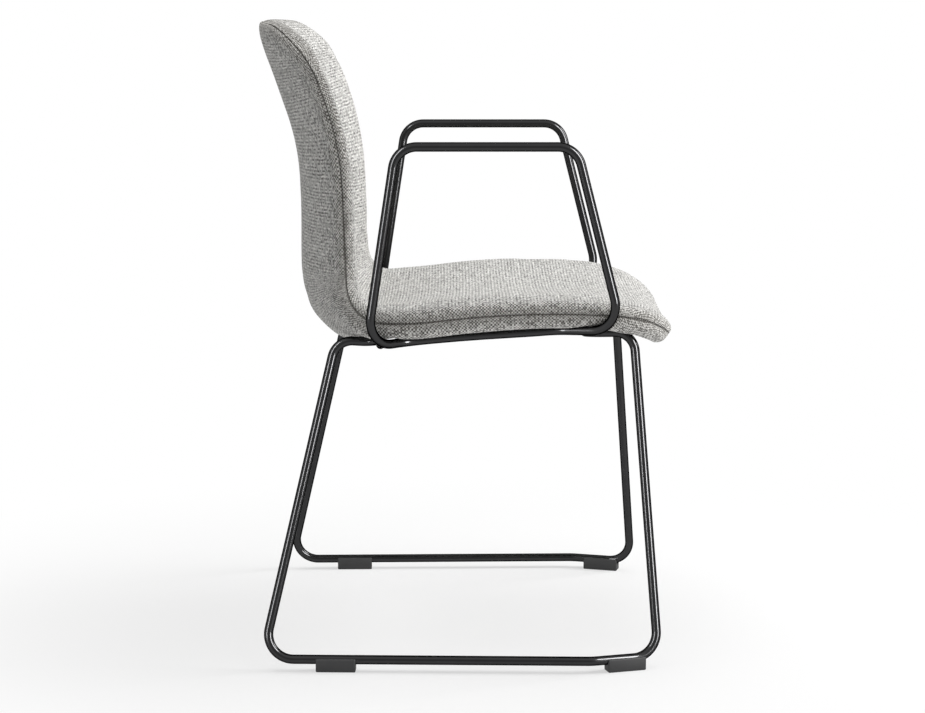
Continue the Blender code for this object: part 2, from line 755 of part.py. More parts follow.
bar_x = SEAT_HALF_WIDTH - ARM_BAR_INSET
bar_places = [ARM_BAR_REAR_Y - bar_run * k / ARM_BAR_SPANS for k in range(ARM_BAR_SPANS + 1)]
bar_line = [Vector((bar_x, y, bar_shape(y))) for y in bar_places]
arm_x = SEAT_HALF_WIDTH + ARM_SPREAD
foot_rear = Vector((arm_x, ARM_FOOT_REAR_Y, bar_line[0].z - ARM_REAR_FOOT_DROP))
foot_front = Vector((arm_x, ARM_FOOT_FRONT_Y, bar_line[-1].z - ARM_FRONT_FOOT_DROP))
bar_radii = [ARM_BEND_RADIUS] + [None] * (len(bar_line) - 2) + [ARM_BEND_RADIUS]
lower_path = filleted([foot_rear, *bar_line, foot_front], [None, *bar_radii, None])
bar_base = path_room(lower_path) - SHELL_CLEARANCE
lower_corners = [point + Vector((0.0, 0.0, bar_base)) for point in (foot_rear, *bar_line, foot_front)]
top_rear = Vector((arm_x, ARM_TOP_REAR_Y, ARM_TOP_HEIGHT))
top_front = Vector((arm_x, ARM_TOP_FRONT_Y, ARM_TOP_HEIGHT))
arm_corners = [*lower_corners, top_front, top_rear]
arm_radii = [ARM_BEND_RADIUS, *bar_radii, ARM_BEND_RADIUS, ARM_BEND_RADIUS, ARM_BEND_RADIUS]
arm_path = filleted(arm_corners, arm_radii)
for side, sign in SIDES.items():
    add_rod(f"arm_{side}", mirrored(arm_path, sign), True, black_rod)

# Tabs welded to the inner side of the arm bars
tab_x = SEAT_HALF_WIDTH - TAB_INSET
for end, tab_y in (("rear", TAB_REAR_Y), ("front", TAB_FRONT_Y)):
    half = TAB_WIDTH / 2.0
    inner_x = tab_x - TAB_END_MARGIN
    weld_x = bar_x - ROD_RADIUS - FIT_GAP
    slope_x = (underside(tab_x + half, tab_y) - underside(tab_x - half, tab_y)) / TAB_WIDTH
    slope_y = (underside(tab_x, tab_y + half) - underside(tab_x, tab_y - half)) / TAB_WIDTH
    level = seat_plane(inner_x, bar_x, tab_y - half, tab_y + half, slope_x, slope_y)
    height = level + slope_x * tab_x + slope_y * tab_y
    tilt = math.hypot(1.0, slope_x)
    lean = TAB_THICKNESS * slope_x / tilt
    grip = []
    for y in (tab_y - half, tab_y + half):
        lower_edge = level + slope_x * weld_x + slope_y * y - TAB_THICKNESS / tilt
        offset = lower_edge - bar_base - bar_shape(y)
        grip.append(math.sqrt(max(0.0, (ROD_RADIUS + FIT_GAP) ** 2 - offset**2)))
    outer_x = bar_x - max(grip) - lean
    for side, sign in SIDES.items():
        frame = plane_frame(sign * tab_x, tab_y, height, sign * slope_x, slope_y)
        reach = sorted((sign * (inner_x - tab_x) * tilt, sign * (outer_x - tab_x) * tilt))
        name = f"{side}_{end}"
        add_flat_plate("arm_tab_" + name, *reach, -half, half, TAB_THICKNESS, frame, steel)
        add_fixing(f"tab_{name}", frame, TAB_THICKNESS)

# Glides: blocks with a channel for the rail, clipped from below
rail_way = rail_toe - rail_rear
toe_way = rail_front - rail_toe
rear_place = rail_rear - rail_way * REAR_GLIDE_SETBACK / rail_way.y
front_place = rail_toe + toe_way * FRONT_GLIDE_SHARE
channel_radius = ROD_RADIUS + GLIDE_SIDE_CLEARANCE
glide_width = 2.0 * (channel_radius + GLIDE_WALL)
glide_height = GLIDE_FOOT + FIT_GAP + ROD_RADIUS + GLIDE_WRAP
for end, place, way in (("rear", rear_place, rail_way), ("front", front_place, toe_way)):
    for side, sign in SIDES.items():
        name = f"glide_{side}_{end}"
        angle = math.atan2(way.y, sign * way.x)
        frame = Matrix.Translation((sign * place.x, place.y, 0.0)) @ Matrix.Rotation(angle, 4, "Z")
        bm = bmesh.new()
        bmesh.ops.create_cube(bm, size=1.0)
        bmesh.ops.scale(bm, vec=(GLIDE_LENGTH, glide_width, glide_height), verts=bm.verts[:])
        bmesh.ops.translate(bm, vec=(0.0, 0.0, glide_height / 2.0), verts=bm.verts[:])
        glide = add_mesh(name, bm, plastic, parts, frame)
        edges = glide.modifiers.new("edges", "BEVEL")
        edges.width = GLIDE_EDGE
        edges.segments = GLIDE_EDGE_STEPS
        channel = bmesh.new()
        bmesh.ops.create_cone(
            channel,
            cap_ends=True,
            segments=CHANNEL_STEPS,
            radius1=channel_radius,
            radius2=channel_radius,
            depth=2.0 * GLIDE_LENGTH,
        )
        bmesh.ops.rotate(channel, matrix=Matrix.Rotation(math.pi / 2.0, 3, "Y"), verts=channel.verts[:])
        raised = [vert for vert in channel.verts if vert.co.z > CENTRE_TOLERANCE]
        bmesh.ops.translate(channel, vec=(0.0, 0.0, glide_height), verts=raised)
        seat = frame @ Matrix.Translation((0.0, 0.0, GLIDE_FOOT + channel_radius))
        cutter = add_mesh(name + "_channel", channel, plastic, glide_cutters, seat)
        cutter.hide_render = True
        cutter.display_type = "WIRE"
        cut = glide.modifiers.new("channel", "BOOLEAN")
        cut.operation = "DIFFERENCE"
        cut.object = cutter

# The origin lies under the middle of the plan
root.location = (0.0, -(front_edge_y + back_edge_y) / 2.0, 0.0)
bpy.context.view_layer.update()
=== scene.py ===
import math

import bpy
from mathutils import Matrix, Vector


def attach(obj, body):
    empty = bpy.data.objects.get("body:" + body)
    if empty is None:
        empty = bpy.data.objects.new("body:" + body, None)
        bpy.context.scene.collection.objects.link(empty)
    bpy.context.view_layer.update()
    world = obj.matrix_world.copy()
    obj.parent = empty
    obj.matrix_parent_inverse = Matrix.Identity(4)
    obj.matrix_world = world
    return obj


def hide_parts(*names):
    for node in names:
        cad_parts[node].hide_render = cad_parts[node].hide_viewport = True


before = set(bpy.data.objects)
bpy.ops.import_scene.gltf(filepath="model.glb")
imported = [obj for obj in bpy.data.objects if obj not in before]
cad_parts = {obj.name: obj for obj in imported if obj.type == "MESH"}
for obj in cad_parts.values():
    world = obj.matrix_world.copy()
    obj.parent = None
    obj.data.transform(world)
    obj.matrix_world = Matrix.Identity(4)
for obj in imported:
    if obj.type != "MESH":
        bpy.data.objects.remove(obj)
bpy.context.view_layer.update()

# Sled: two bent 12 mm steel rods, each a side loop with half of both cross bars under the seat.
# The rod is cold bent over round formers and powder coated satin black.

rod_radius = 0.006
rod_sides_resolution = 14
rod_crease = math.radians(40.0)
bend_step = math.radians(5.0)
sides = {"right": -1.0, "left": 1.0}
sled_corners = [
    (0.0002, 0.1085, 0.3994),
    (0.1250, 0.1085, 0.3994),
    (0.1560, 0.1085, 0.4136),
    (0.1970, 0.1085, 0.4136),
    (0.1970, 0.1632, 0.4168),
    (0.2736, 0.2570, 0.0148),
    (0.2845, -0.1652, 0.0148),
    (0.2590, -0.2514, 0.0148),
    (0.1970, -0.2199, 0.4270),
    (0.1970, -0.1582, 0.4262),
    (0.1350, -0.1582, 0.4198),
    (0.0002, -0.1582, 0.4198),
]
sled_bend_radii = [None, 0.026, 0.026, 0.026, 0.026, 0.032, 0.045, 0.032, 0.026, 0.026, 0.026, None]
black = (0.0, 0.0, 0.0, 1.0)
coat_black = (0.038, 0.038, 0.039, 1.0)
coat_cloud_black = (0.046, 0.046, 0.047, 1.0)
# Painted shade: the near-black of the rods' flanks and the dip where a rod faces the viewer, both set by the
# angle of view.
painted_flank_shade_black = (0.003, 0.003, 0.003, 1.0)
coat_edge_black = (0.10, 0.10, 0.10, 1.0)
painted_middle_shade_zone = (0.004, 0.05)
painted_middle_shade_dip = 0.55
painted_flank_shade_zone = (0.22, 0.58)


def rod_line(corners, bend_radii, sign):
    """Centre line of a rod: straight runs with an arc of the former's radius at each corner."""
    places = [Vector((sign * x, y, z)) for x, y, z in corners]
    line = []
    for number, corner in enumerate(places):
        radius = bend_radii[number]
        if radius is None:
            line.append(corner)
            continue
        back = (places[number - 1] - corner).normalized()
        ahead = (places[(number + 1) % len(places)] - corner).normalized()
        turn = math.pi - back.angle(ahead)
        centre = corner + (back + ahead).normalized() * radius / math.cos(turn / 2.0)
        start = corner + back * radius * math.tan(turn / 2.0) - centre
        axis = back.cross(ahead)
        steps = max(3, math.ceil(turn / bend_step))
        for step in range(steps + 1):
            line.append(centre + Matrix.Rotation(-turn * step / steps, 3, axis) @ start)
    return line


def bend_rod(name, line, closed):
    """Draw the centre line as a curve, give it the rod's round section and turn it into a mesh."""
    bpy.ops.object.select_all(action="DESELECT")
    bpy.ops.curve.primitive_bezier_curve_add(location=(0.0, 0.0, 0.0))
    rod = bpy.context.object
    rod.name = name
    rod.data.splines.clear()
    spline = rod.data.splines.new("POLY")
    spline.points.add(len(line) - 1)
    for point, place in zip(spline.points, line):
        point.co = (*place, 1.0)
    spline.use_cyclic_u = closed
    spline.use_smooth = True
    rod.data.bevel_depth = rod_radius
    rod.data.bevel_resolution = rod_sides_resolution
    rod.data.use_fill_caps = not closed
    bpy.ops.object.convert(target="MESH")
    bpy.ops.object.shade_smooth_by_angle(angle=rod_crease)
    return bpy.context.object


def start_finish(name):
    """A new finish, its node tree and its shader."""
    finish = bpy.data.materials.new(name)
    finish.use_nodes = True
    return finish, finish.node_tree, finish.node_tree.nodes["Principled BSDF"]


def dress(piece, finish):
    piece.data.materials.clear()
    piece.data.materials.append(finish)


def preset(node, values):
    for name, value in values.items():
        node.inputs[name].default_value = value


def solid_noise(tree, scale, detail):
    """Noise through the piece's own space."""
    place = tree.nodes.new("ShaderNodeTexCoord")
    node = tree.nodes.new("ShaderNodeTexNoise")
    preset(node, {"Scale": scale, "Detail": detail})
    tree.links.new(place.outputs["Object"], node.inputs["Vector"])
    return node.outputs["Fac"]


def graded(tree, value, start, end):
    """Straight run from one value to another, as the input goes from 0 to 1."""
    node = tree.nodes.new("ShaderNodeMapRange")
    preset(node, {"To Min": start, "To Max": end})
    tree.links.new(value, node.inputs["Value"])
    return node.outputs["Result"]


def ramp(tree, value, low, high, start=0.0, end=1.0):
    """Smooth step from one value to another, between two values of the input."""
    node = tree.nodes.new("ShaderNodeMapRange")
    node.interpolation_type = "SMOOTHSTEP"
    preset(node, {"From Min": low, "From Max": high, "To Min": start, "To Max": end})
    tree.links.new(value, node.inputs["Value"])
    return node.outputs["Result"]


def mixed(tree, factor, first, second):
    """Mix two colours; each value is a number, a colour or another node's socket."""
    node = tree.nodes.new("ShaderNodeMix")
    node.data_type = "RGBA"
    for name, value in (("Factor", factor), ("A", first), ("B", second)):
        if isinstance(value, (int, float, tuple)):
            node.inputs[name].default_value = value
        else:
            tree.links.new(value, node.inputs[name])
    return node.outputs["Result"]


def raised(tree, shader, height, strength, distance):
    """Give the surface its fine relief."""
    bump = tree.nodes.new("ShaderNodeBump")
    preset(bump, {"Strength": strength, "Distance": distance})
    tree.links.new(height, bump.inputs["Height"])
    tree.links.new(bump.outputs["Normal"], shader.inputs["Normal"])


def satin_black_coat(name, smooth, rough):
    """Powder coat: near-black and satin, with a faint orange peel; painted shade by the angle of view turns
    the rod's flanks near black and lays a faint dark line down its middle.
    """
    finish, tree, shader = start_finish(name)
    preset(shader, {"Base Color": coat_black, "Metallic": 1.0, "Specular Tint": coat_edge_black})
    cloud = solid_noise(tree, scale=60.0, detail=3.0)
    tree.links.new(graded(tree, cloud, smooth, rough), shader.inputs["Roughness"])
    rim = tree.nodes.new("ShaderNodeLayerWeight")
    preset(rim, {"Blend": 0.5})
    # Painted shade by the angle of view: the colour dips where the rod faces the viewer straight on and turns
    # near black on its flanks, standing in for dark reflections.
    middle = ramp(tree, rim.outputs["Facing"], *painted_middle_shade_zone, painted_middle_shade_dip, 1.0)
    painted_flank_shade = ramp(tree, rim.outputs["Facing"], *painted_flank_shade_zone)
    tone = mixed(tree, middle, black, mixed(tree, cloud, coat_black, coat_cloud_black))
    tree.links.new(mixed(tree, painted_flank_shade, tone, painted_flank_shade_black), shader.inputs["Base Color"])
    orange_peel = solid_noise(tree, scale=1400.0, detail=2.0)
    raised(tree, shader, orange_peel, strength=0.05, distance=0.0002)
    return finish


rod_coat = satin_black_coat("satin_black_coat", smooth=0.12, rough=0.19)
for side, sign in sides.items():
    sled_rod = bend_rod(f"sled_rod_{side}", rod_line(sled_corners, sled_bend_radii, sign), closed=False)
    dress(sled_rod, rod_coat)
    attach(sled_rod, "root")
    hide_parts(f"sled_{side}")

# Glides: black moulded plastic blocks with a channel, pressed onto the floor rails from below.
# They keep the rails off the floor, and have softened edges and a fine spark-eroded skin.

glide_length = 0.051
glide_width = 0.018
glide_height = 0.0173
glide_edge = 0.0016
glide_crease = math.radians(35.0)
channel_radius = 0.0066
channel_sides = 48
channel_height = 0.0151
plastic_black = (0.016, 0.016, 0.017, 1.0)
scuffed_black = (0.030, 0.030, 0.031, 1.0)
glide_places = {
    "rear": ((0.2760, 0.1624), (-0.0109, 0.4222)),
    "front": ((0.2718, -0.2083), (0.0255, 0.0862)),
}


def moulded_plastic():
    finish, tree, shader = start_finish("black_moulded_plastic")
    preset(shader, {"Specular IOR Level": 0.35})
    scuff = solid_noise(tree, scale=90.0, detail=5.0)
    tree.links.new(mixed(tree, scuff, plastic_black, scuffed_black), shader.inputs["Base Color"])
    tree.links.new(graded(tree, scuff, 0.48, 0.68), shader.inputs["Roughness"])
    eroded_skin = solid_noise(tree, scale=2200.0, detail=4.0)
    raised(tree, shader, eroded_skin, strength=0.35, distance=0.0002)
    return finish


def mould_glide(name, place, way, sign):
    """Cut the rail's channel out of a block, soften its edges and lay it along its rail."""
    bpy.ops.object.select_all(action="DESELECT")
    bpy.ops.mesh.primitive_cube_add(size=1.0, location=(0.0, 0.0, glide_height / 2.0))
    glide = bpy.context.object
    glide.name = name
    glide.scale = (glide_length, glide_width, glide_height)
    bpy.ops.object.transform_apply(location=True, rotation=False, scale=True)
    bpy.ops.object.mode_set(mode="EDIT")
    bpy.ops.mesh.select_all(action="SELECT")
    bpy.ops.mesh.bevel(offset=glide_edge, segments=4, affect="EDGES")
    bpy.ops.object.mode_set(mode="OBJECT")
    bpy.ops.mesh.primitive_cylinder_add(
        vertices=channel_sides,
        radius=channel_radius,
        depth=2.0 * glide_length,
        location=(0.0, 0.0, channel_height),
        rotation=(0.0, math.pi / 2.0, 0.0),
    )
    channel = bpy.context.object
    bpy.ops.object.select_all(action="DESELECT")
    glide.select_set(True)
    bpy.context.view_layer.objects.active = glide
    cut = glide.modifiers.new("channel", "BOOLEAN")
    cut.object = channel
    cut.solver = "EXACT"
    bpy.ops.object.modifier_apply(modifier=cut.name)
    bpy.data.objects.remove(channel, do_unlink=True)
    glide.rotation_euler = (0.0, 0.0, math.atan2(way[1], sign * way[0]))
    glide.location = (sign * place[0], place[1], 0.0)
    bpy.ops.object.transform_apply(location=True, rotation=True, scale=True)
    bpy.ops.object.shade_smooth_by_angle(angle=glide_crease)
    return glide


glide_plastic = moulded_plastic()
for end, (place, way) in glide_places.items():
    for side, sign in sides.items():
        glide = mould_glide(f"floor_glide_{side}_{end}", place, way, sign)
        dress(glide, glide_plastic)
        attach(glide, "root")
        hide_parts(f"glide_{side}_{end}")

# Arms: one closed loop of the same 12 mm rod at each side, bent, butt welded and coated with the sled.
# The lower bar lies under the shell's edge, and the level top bar is the armrest.

arm_corners = [
    (0.2634, 0.1219, 0.4165),
    (0.2190, 0.0700, 0.4178),
    (0.2190, 0.0380, 0.4210),
    (0.2190, 0.0060, 0.4238),
    (0.2190, -0.0260, 0.4262),
    (0.2190, -0.0580, 0.4282),
    (0.2190, -0.0900, 0.4302),
    (0.2190, -0.1200, 0.4325),
    (0.2634, -0.2011, 0.4374),
    (0.2634, -0.1419, 0.6691),
    (0.2634, 0.0834, 0.6691),
]
arm_bend_radii = [0.036, 0.050, None, None, None, None, None, 0.060, 0.036, 0.030, 0.030]
for side, sign in sides.items():
    arm_rod = bend_rod(f"arm_rod_{side}", rod_line(arm_corners, arm_bend_radii, sign), closed=True)
    dress(arm_rod, rod_coat)
    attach(arm_rod, "root")
    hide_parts(f"arm_{side}")

# Mounting plates and arm tabs: flat black steel, cut with round corners and drilled for one screw each.
# The plates are welded on the cross bars and the tabs on the arm bars before coating.

plate_coat = satin_black_coat("satin_black_plate", smooth=0.45, rough=0.60)
for name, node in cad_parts.items():
    if name.startswith(("mounting_plate_", "arm_tab_")):
        dress(node, plate_coat)

# Shell core: pressed plywood, hidden between the two padded covers.
# Thin veneers are glued over a former, so the grain runs along the sitter's height.

dark_veneer = (0.36, 0.22, 0.11, 1.0)
light_veneer = (0.58, 0.41, 0.24, 1.0)
grain_stretch = (60.0, 4.0, 4.0)
finish, tree, shader = start_finish("pressed_plywood")
preset(shader, {"Roughness": 0.6})
place = tree.nodes.new("ShaderNodeTexCoord")
stretch = tree.nodes.new("ShaderNodeMapping")
preset(stretch, {"Scale": grain_stretch})
tree.links.new(place.outputs["Object"], stretch.inputs["Vector"])
grain = tree.nodes.new("ShaderNodeTexNoise")
preset(grain, {"Scale": 3.0, "Detail": 6.0})
tree.links.new(stretch.outputs["Vector"], grain.inputs["Vector"])
veneer = mixed(tree, grain.outputs["Fac"], dark_veneer, light_veneer)
tree.links.new(veneer, shader.inputs["Base Color"])
dress(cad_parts["seat_core"], finish)

# Screws and tee nuts: turned steel with a bright zinc plate, slightly uneven from the bath.
# Four screws pass up through the plates and four through the tabs into nuts in the core.

dull_zinc = (0.50, 0.51, 0.53, 1.0)
clear_zinc = (0.66, 0.66, 0.67, 1.0)
finish, tree, shader = start_finish("bright_zinc")
preset(shader, {"Metallic": 1.0})
bath = solid_noise(tree, scale=350.0, detail=4.0)
tree.links.new(mixed(tree, bath, dull_zinc, clear_zinc), shader.inputs["Base Color"])
tree.links.new(graded(tree, bath, 0.24, 0.42), shader.inputs["Roughness"])
for name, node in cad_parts.items():
    if name.startswith(("screw_", "tee_nut_")):
        dress(node, finish)

# Padded covers: heathered wool-look cloth over foam, one on the sitting side, one on the back and underside.
# Each is cut to the shell's outline, stretched over the foam and sewn to the other along the shell's edge.

# Middle line of the shell from the nose to the top, set out from the seat's bend: (length, turn) of each run.
bend_start = Vector((0.1020, 0.4161))
bend_start_angle = math.radians(-10.85)
lumbar_lean = math.radians(2.15)
seat_back_radius = 0.0860
bend_turn = math.pi / 2.0 - lumbar_lean - bend_start_angle
nose_turn = math.radians(34.26)
seat_turn = math.radians(15.53)
upper_back_turn = math.radians(17.58)
profile_runs = [
    (0.1121 * nose_turn, -nose_turn),
    (1.160 * seat_turn, -seat_turn),
    (seat_back_radius * bend_turn, bend_turn),
    (0.1108, 0.0),
    (0.325 * upper_back_turn, -upper_back_turn),
    (0.1217, 0.0),
]
# Outline of the shell, the bow of its two ends and the rise of its sides.
seat_half_width = 0.249
back_half_width = 0.2026
top_half_width = 0.2093
front_corner_radius = 0.1112
top_corner_radius = 0.0971
front_bow = 0.0218
top_bow = 0.0275
bow_reach = 0.15
seat_sag = 0.0200
back_sag = 0.0546
waist_before_bend = 0.06
waist_after_bend = 0.02
sag_before_bend = 0.0715
# Core, and the roll of the foam along the edge.
core_half_thickness = 0.00515
core_inset = 0.008
roll_width = 0.020
roll_lean = 0.6
draw_in_start = 0.012
draw_in_end = 0.032
# Foam depth and the roll's bulge at lengths from the nose.
front_foam = [
    (0.0, 0.0152), (0.03, 0.0168), (0.06, 0.0186), (0.10, 0.0212), (0.16, 0.0225),
    (0.26, 0.0236), (0.36, 0.0240), (0.44, 0.0244), (0.52, 0.0272), (0.62, 0.0264),
    (0.70, 0.0244), (0.78, 0.0242), (0.82, 0.0296), (0.85, 0.0288),
]
rear_foam = [
    (0.0, 0.0237), (0.03, 0.0256), (0.06, 0.0244), (0.10, 0.0210), (0.16, 0.0206),
    (0.26, 0.0222), (0.36, 0.0228), (0.42, 0.0246), (0.47, 0.0214), (0.52, 0.0118),
    (0.62, 0.0085), (0.72, 0.0080), (0.80, 0.0073), (0.85, 0.0096),
]
front_roll_bulge = [(0.0, 0.0008), (0.10, 0.0012), (0.60, 0.0016), (0.83, 0.0014)]
rear_roll_bulge = [(0.0, 0.0022), (0.10, 0.0016), (0.60, 0.0012), (0.83, 0.0012)]
# Crown behind the edge, and the drawing in of the cloth under the seat.
front_crown = 0.005
front_crown_reach = 0.085
front_squareness = 2.58
rear_crown = 0.002
rear_squareness = 2.22
underside_reach = 0.030
back_extra_reach = 0.025
underside_draw = 0.0097
underside_fade = 0.06
# Cloth: its slack, where the welt comes in, and the grid and rings of the sheet.
cloth_slack = 0.0012
slack_reach = 0.03
welt_begins = 0.30
welt_full = 0.12
seam_marks = ("from_seam", "along_seam", "top_corner")
sheet_columns = 72
sheet_rows = 132
roll_insets = [0.026, 0.0215, 0.0175, 0.0138, 0.0104, 0.0074, 0.0049, 0.0029, 0.0014, 0.0005, 0.0001, 0.0]
ring_step = 0.1
arc_steps = 40
side_steps = 400
length_steps = 400


def walk(place, heading, length, turn, along):
    """Go along one run of the profile, which is straight or an arc."""
    if turn == 0.0:
        return place + Vector((math.cos(heading), math.sin(heading))) * along
    radius = length / turn
    swing = heading + turn * along / length
    turned = Vector((math.sin(swing) - math.sin(heading), math.cos(heading) - math.cos(swing)))
    return place + turned * radius


run_starts = [0.0]
for length, _ in profile_runs:
    run_starts.append(run_starts[-1] + length)
profile_length = run_starts[-1]
seat_end = run_starts[2]
bend_end = run_starts[3]
heading = bend_start_angle - profile_runs[0][1] - profile_runs[1][1]
place = Vector((0.0, 0.0))
run_frames = []
for length, turn in profile_runs:
    run_frames.append((place, heading))
    place = walk(place, heading, length, turn, length)
    heading += turn
shift = bend_start - run_frames[2][0]
run_frames = [(place + shift, heading) for place, heading in run_frames]


def profile_at(s):
    """Point (Y, Z) of the shell's middle line at length s from the nose, and its sitting-side normal."""
    number = max(i for i in range(len(profile_runs)) if i == 0 or s >= run_starts[i])
    length, turn = profile_runs[number]
    place, heading = run_frames[number]
    along = s - run_starts[number]
    swing = heading + turn * along / length
    return walk(place, heading, length, turn, along), Vector((-math.sin(swing), math.cos(swing)))


def ease(value, low, high):
    share = min(1.0, max(0.0, (value - low) / (high - low)))
    return share * share * (3.0 - 2.0 * share)


def square_half_width(s):
    waist = ease(s, seat_end - waist_before_bend, bend_end + waist_after_bend)
    taper = ease(s, bend_end, profile_length)
    width = seat_half_width + (back_half_width - seat_half_width) * waist
    return width + (top_half_width - back_half_width) * taper


def edge_distance(s, x):
    """Distance from the shell's outline, and the outward direction along s and along x."""
    side = square_half_width(s) - abs(x)
    sign = 1.0 if x >= 0.0 else -1.0
    front_is_near = s < profile_length / 2.0
    end = s if front_is_near else profile_length - s
    out = -1.0 if front_is_near else 1.0
    radius = front_corner_radius if front_is_near else top_corner_radius
    if side < radius and end < radius:
        run = radius - end
        reach = radius - side
        span = math.hypot(run, reach)
        return radius - span, (out * run / span, sign * reach / span)
    if side < end:
        return side, (0.0, sign)
    return end, (out, 0.0)


def middle_surface(s, x):
    """Point of the core's middle surface, bent up and forward toward the side edges."""
    share = (x / square_half_width(s)) ** 2
    front = max(0.0, 1.0 - s / bow_reach)
    top = max(0.0, 1.0 - (profile_length - s) / bow_reach)
    bowed = s + share * (front_bow * front**2 - top_bow * top**2)
    point, normal = profile_at(bowed)
    blend = ease(s, seat_end - sag_before_bend, bend_end)
    point = point + normal * (seat_sag + (back_sag - seat_sag) * blend) * share
    return Vector((x, point.x, point.y))


def surface_normal(s, x):
    step = 0.0005
    along = middle_surface(s + step, x) - middle_surface(s - step, x)
    across = middle_surface(s, x + step) - middle_surface(s, x - step)
    return across.cross(along).normalized()


def read_list(places, s):
    """Value at length s from a list of (length, value) places, eased between them."""
    value = places[0][1]
    for (low, first), (high, second) in zip(places, places[1:]):
        value += (second - first) * ease(s, low, high)
    return value


def front_depth(s):
    return read_list(front_foam, s)


def rear_depth(s):
    return read_list(rear_foam, s)


def front_edge(s):
    """Crown behind the rolled edge, its reach and squareness, the drawing in, and the roll's bulge."""
    return front_crown, front_crown_reach, front_squareness, 0.0, read_list(front_roll_bulge, s)


def rear_edge(s):
    """The same at the rear, where the cloth is drawn up under the seat behind a narrow roll."""
    back = ease(s, seat_end, seat_end + underside_fade)
    reach = underside_reach + back_extra_reach * back
    drawn_in = underside_draw * (1.0 - back)
    return rear_crown * back, reach, rear_squareness, drawn_in, read_list(rear_roll_bulge, s)


def cover_outside(s, x, depth, edge, facing):
    """Point on a cover: it leaves the seam in a slight tuck, rolls round the edge and rises to a crown."""
    inset, outward = edge_distance(s, x)
    inset = max(0.0, inset)
    crown, reach, square, drawn_in, roll_bulge = edge
    bulge = roll_bulge * math.sin(math.pi * min(1.0, inset / roll_width) ** roll_lean)
    swell = 1.0 - (1.0 - min(1.0, inset / reach)) ** square
    height = (depth + crown) * swell ** (1.0 / square)
    height -= drawn_in * ease(inset, draw_in_start, draw_in_end)
    s += outward[0] * bulge
    x += outward[1] * bulge
    return middle_surface(s, x) + surface_normal(s, x) * height * facing


def cover_inside(s, x, facing):
    """Point on a cover's inner face: on the core, and down to the seam outside it."""
    inset, _ = edge_distance(s, x)
    height = core_half_thickness * min(1.0, max(0.0, inset) / core_inset)
    return middle_surface(s, x) + surface_normal(s, x) * height * facing


def outline_side(inset):
    """Points (s, x) of the left outline at an inset, from the middle of one corner arc to the other's."""
    points = []
    front = front_corner_radius
    top = top_corner_radius
    for k in range(arc_steps + 1):
        angle = math.radians(45.0 + 45.0 * k / arc_steps)
        s = front - (front - inset) * math.cos(angle)
        points.append((s, square_half_width(s) - front + (front - inset) * math.sin(angle)))
    for k in range(1, side_steps):
        s = front + (profile_length - top - front) * k / side_steps
        points.append((s, square_half_width(s) - inset))
    for k in range(arc_steps + 1):
        angle = math.radians(90.0 - 45.0 * k / arc_steps)
        s = profile_length - top + (top - inset) * math.cos(angle)
        points.append((s, square_half_width(s) - top + (top - inset) * math.sin(angle)))
    return points


def outline_end(inset, at_front):
    """Points (s, x) of the front or top outline at an inset, from the right corner to the left one."""
    radius = front_corner_radius if at_front else top_corner_radius
    half = []
    for k in range(arc_steps + 1):
        angle = math.radians(45.0 * k / arc_steps)
        depth = radius - (radius - inset) * math.cos(angle)
        s = depth if at_front else profile_length - depth
        half.append((s, square_half_width(s) - radius + (radius - inset) * math.sin(angle)))
    return [(s, -x) for s, x in reversed(half)] + half


def even_points(points, count):
    """Spread count + 1 points evenly along a line of points."""
    lengths = [0.0]
    for first, second in zip(points, points[1:]):
        lengths.append(lengths[-1] + math.dist(first, second))
    spread = []
    index = 0
    for k in range(count + 1):
        wanted = lengths[-1] * k / count
        while index < len(points) - 2 and lengths[index + 1] < wanted:
            index += 1
        gap = lengths[index + 1] - lengths[index]
        share = (wanted - lengths[index]) / gap if gap else 0.0
        first, second = points[index], points[index + 1]
        spread.append(tuple(a + (b - a) * share for a, b in zip(first, second)))
    return spread


outlines = []
for inset in roll_insets:
    left = even_points(outline_side(inset), sheet_rows)
    outlines.append(
        {
            "left": left,
            "right": [(s, -x) for s, x in left],
            "front": even_points(outline_end(inset, True), sheet_columns),
            "top": even_points(outline_end(inset, False), sheet_columns),
        }
    )
    outlines[-1]["side_length"] = sum(math.dist(a, b) for a, b in zip(left, left[1:]))
    front = outlines[-1]["front"]
    outlines[-1]["front_length"] = sum(math.dist(a, b) for a, b in zip(front, front[1:]))


def rim_point(outline, column, row):
    """Outline point that belongs to a point on the edge of the flat sheet."""
    if row == 0:
        return outline["front"][column]
    if row == sheet_rows:
        return outline["top"][column]
    return outline["left"][row] if column == sheet_columns else outline["right"][row]


def inner_point(column, row):
    """Point (s, x) inside the first ring, spread evenly between its four sides."""
    outline = outlines[0]
    u = column / sheet_columns
    v = row / sheet_rows
    corners = (outline["front"][0], outline["front"][-1], outline["top"][0], outline["top"][-1])
    place = []
    for axis in (0, 1):
        across = outline["right"][row][axis] * (1.0 - u) + outline["left"][row][axis] * u
        along = outline["front"][column][axis] * (1.0 - v) + outline["top"][column][axis] * v
        low = corners[0][axis] * (1.0 - u) + corners[1][axis] * u
        high = corners[2][axis] * (1.0 - u) + corners[3][axis] * u
        place.append(across + along - low * (1.0 - v) - high * v)
    return tuple(place)


def flat_sheet(name):
    """Grid of cloth with a ring of strips extruded round it for the rolled edge."""
    bpy.ops.object.select_all(action="DESELECT")
    bpy.ops.mesh.primitive_grid_add(x_subdivisions=sheet_columns, y_subdivisions=sheet_rows, size=2.0)
    sheet = bpy.context.object
    sheet.name = name
    bpy.ops.object.mode_set(mode="EDIT")
    bpy.ops.mesh.select_all(action="SELECT")
    bpy.ops.mesh.region_to_loop()
    for ring in range(1, len(roll_insets)):
        bpy.ops.mesh.extrude_edges_move()
        grow = (1.0 + ring_step * ring) / (1.0 + ring_step * (ring - 1))
        bpy.ops.transform.resize(value=(grow, grow, 1.0), center_override=(0.0, 0.0, 0.0))
    bpy.ops.object.mode_set(mode="OBJECT")
    return sheet


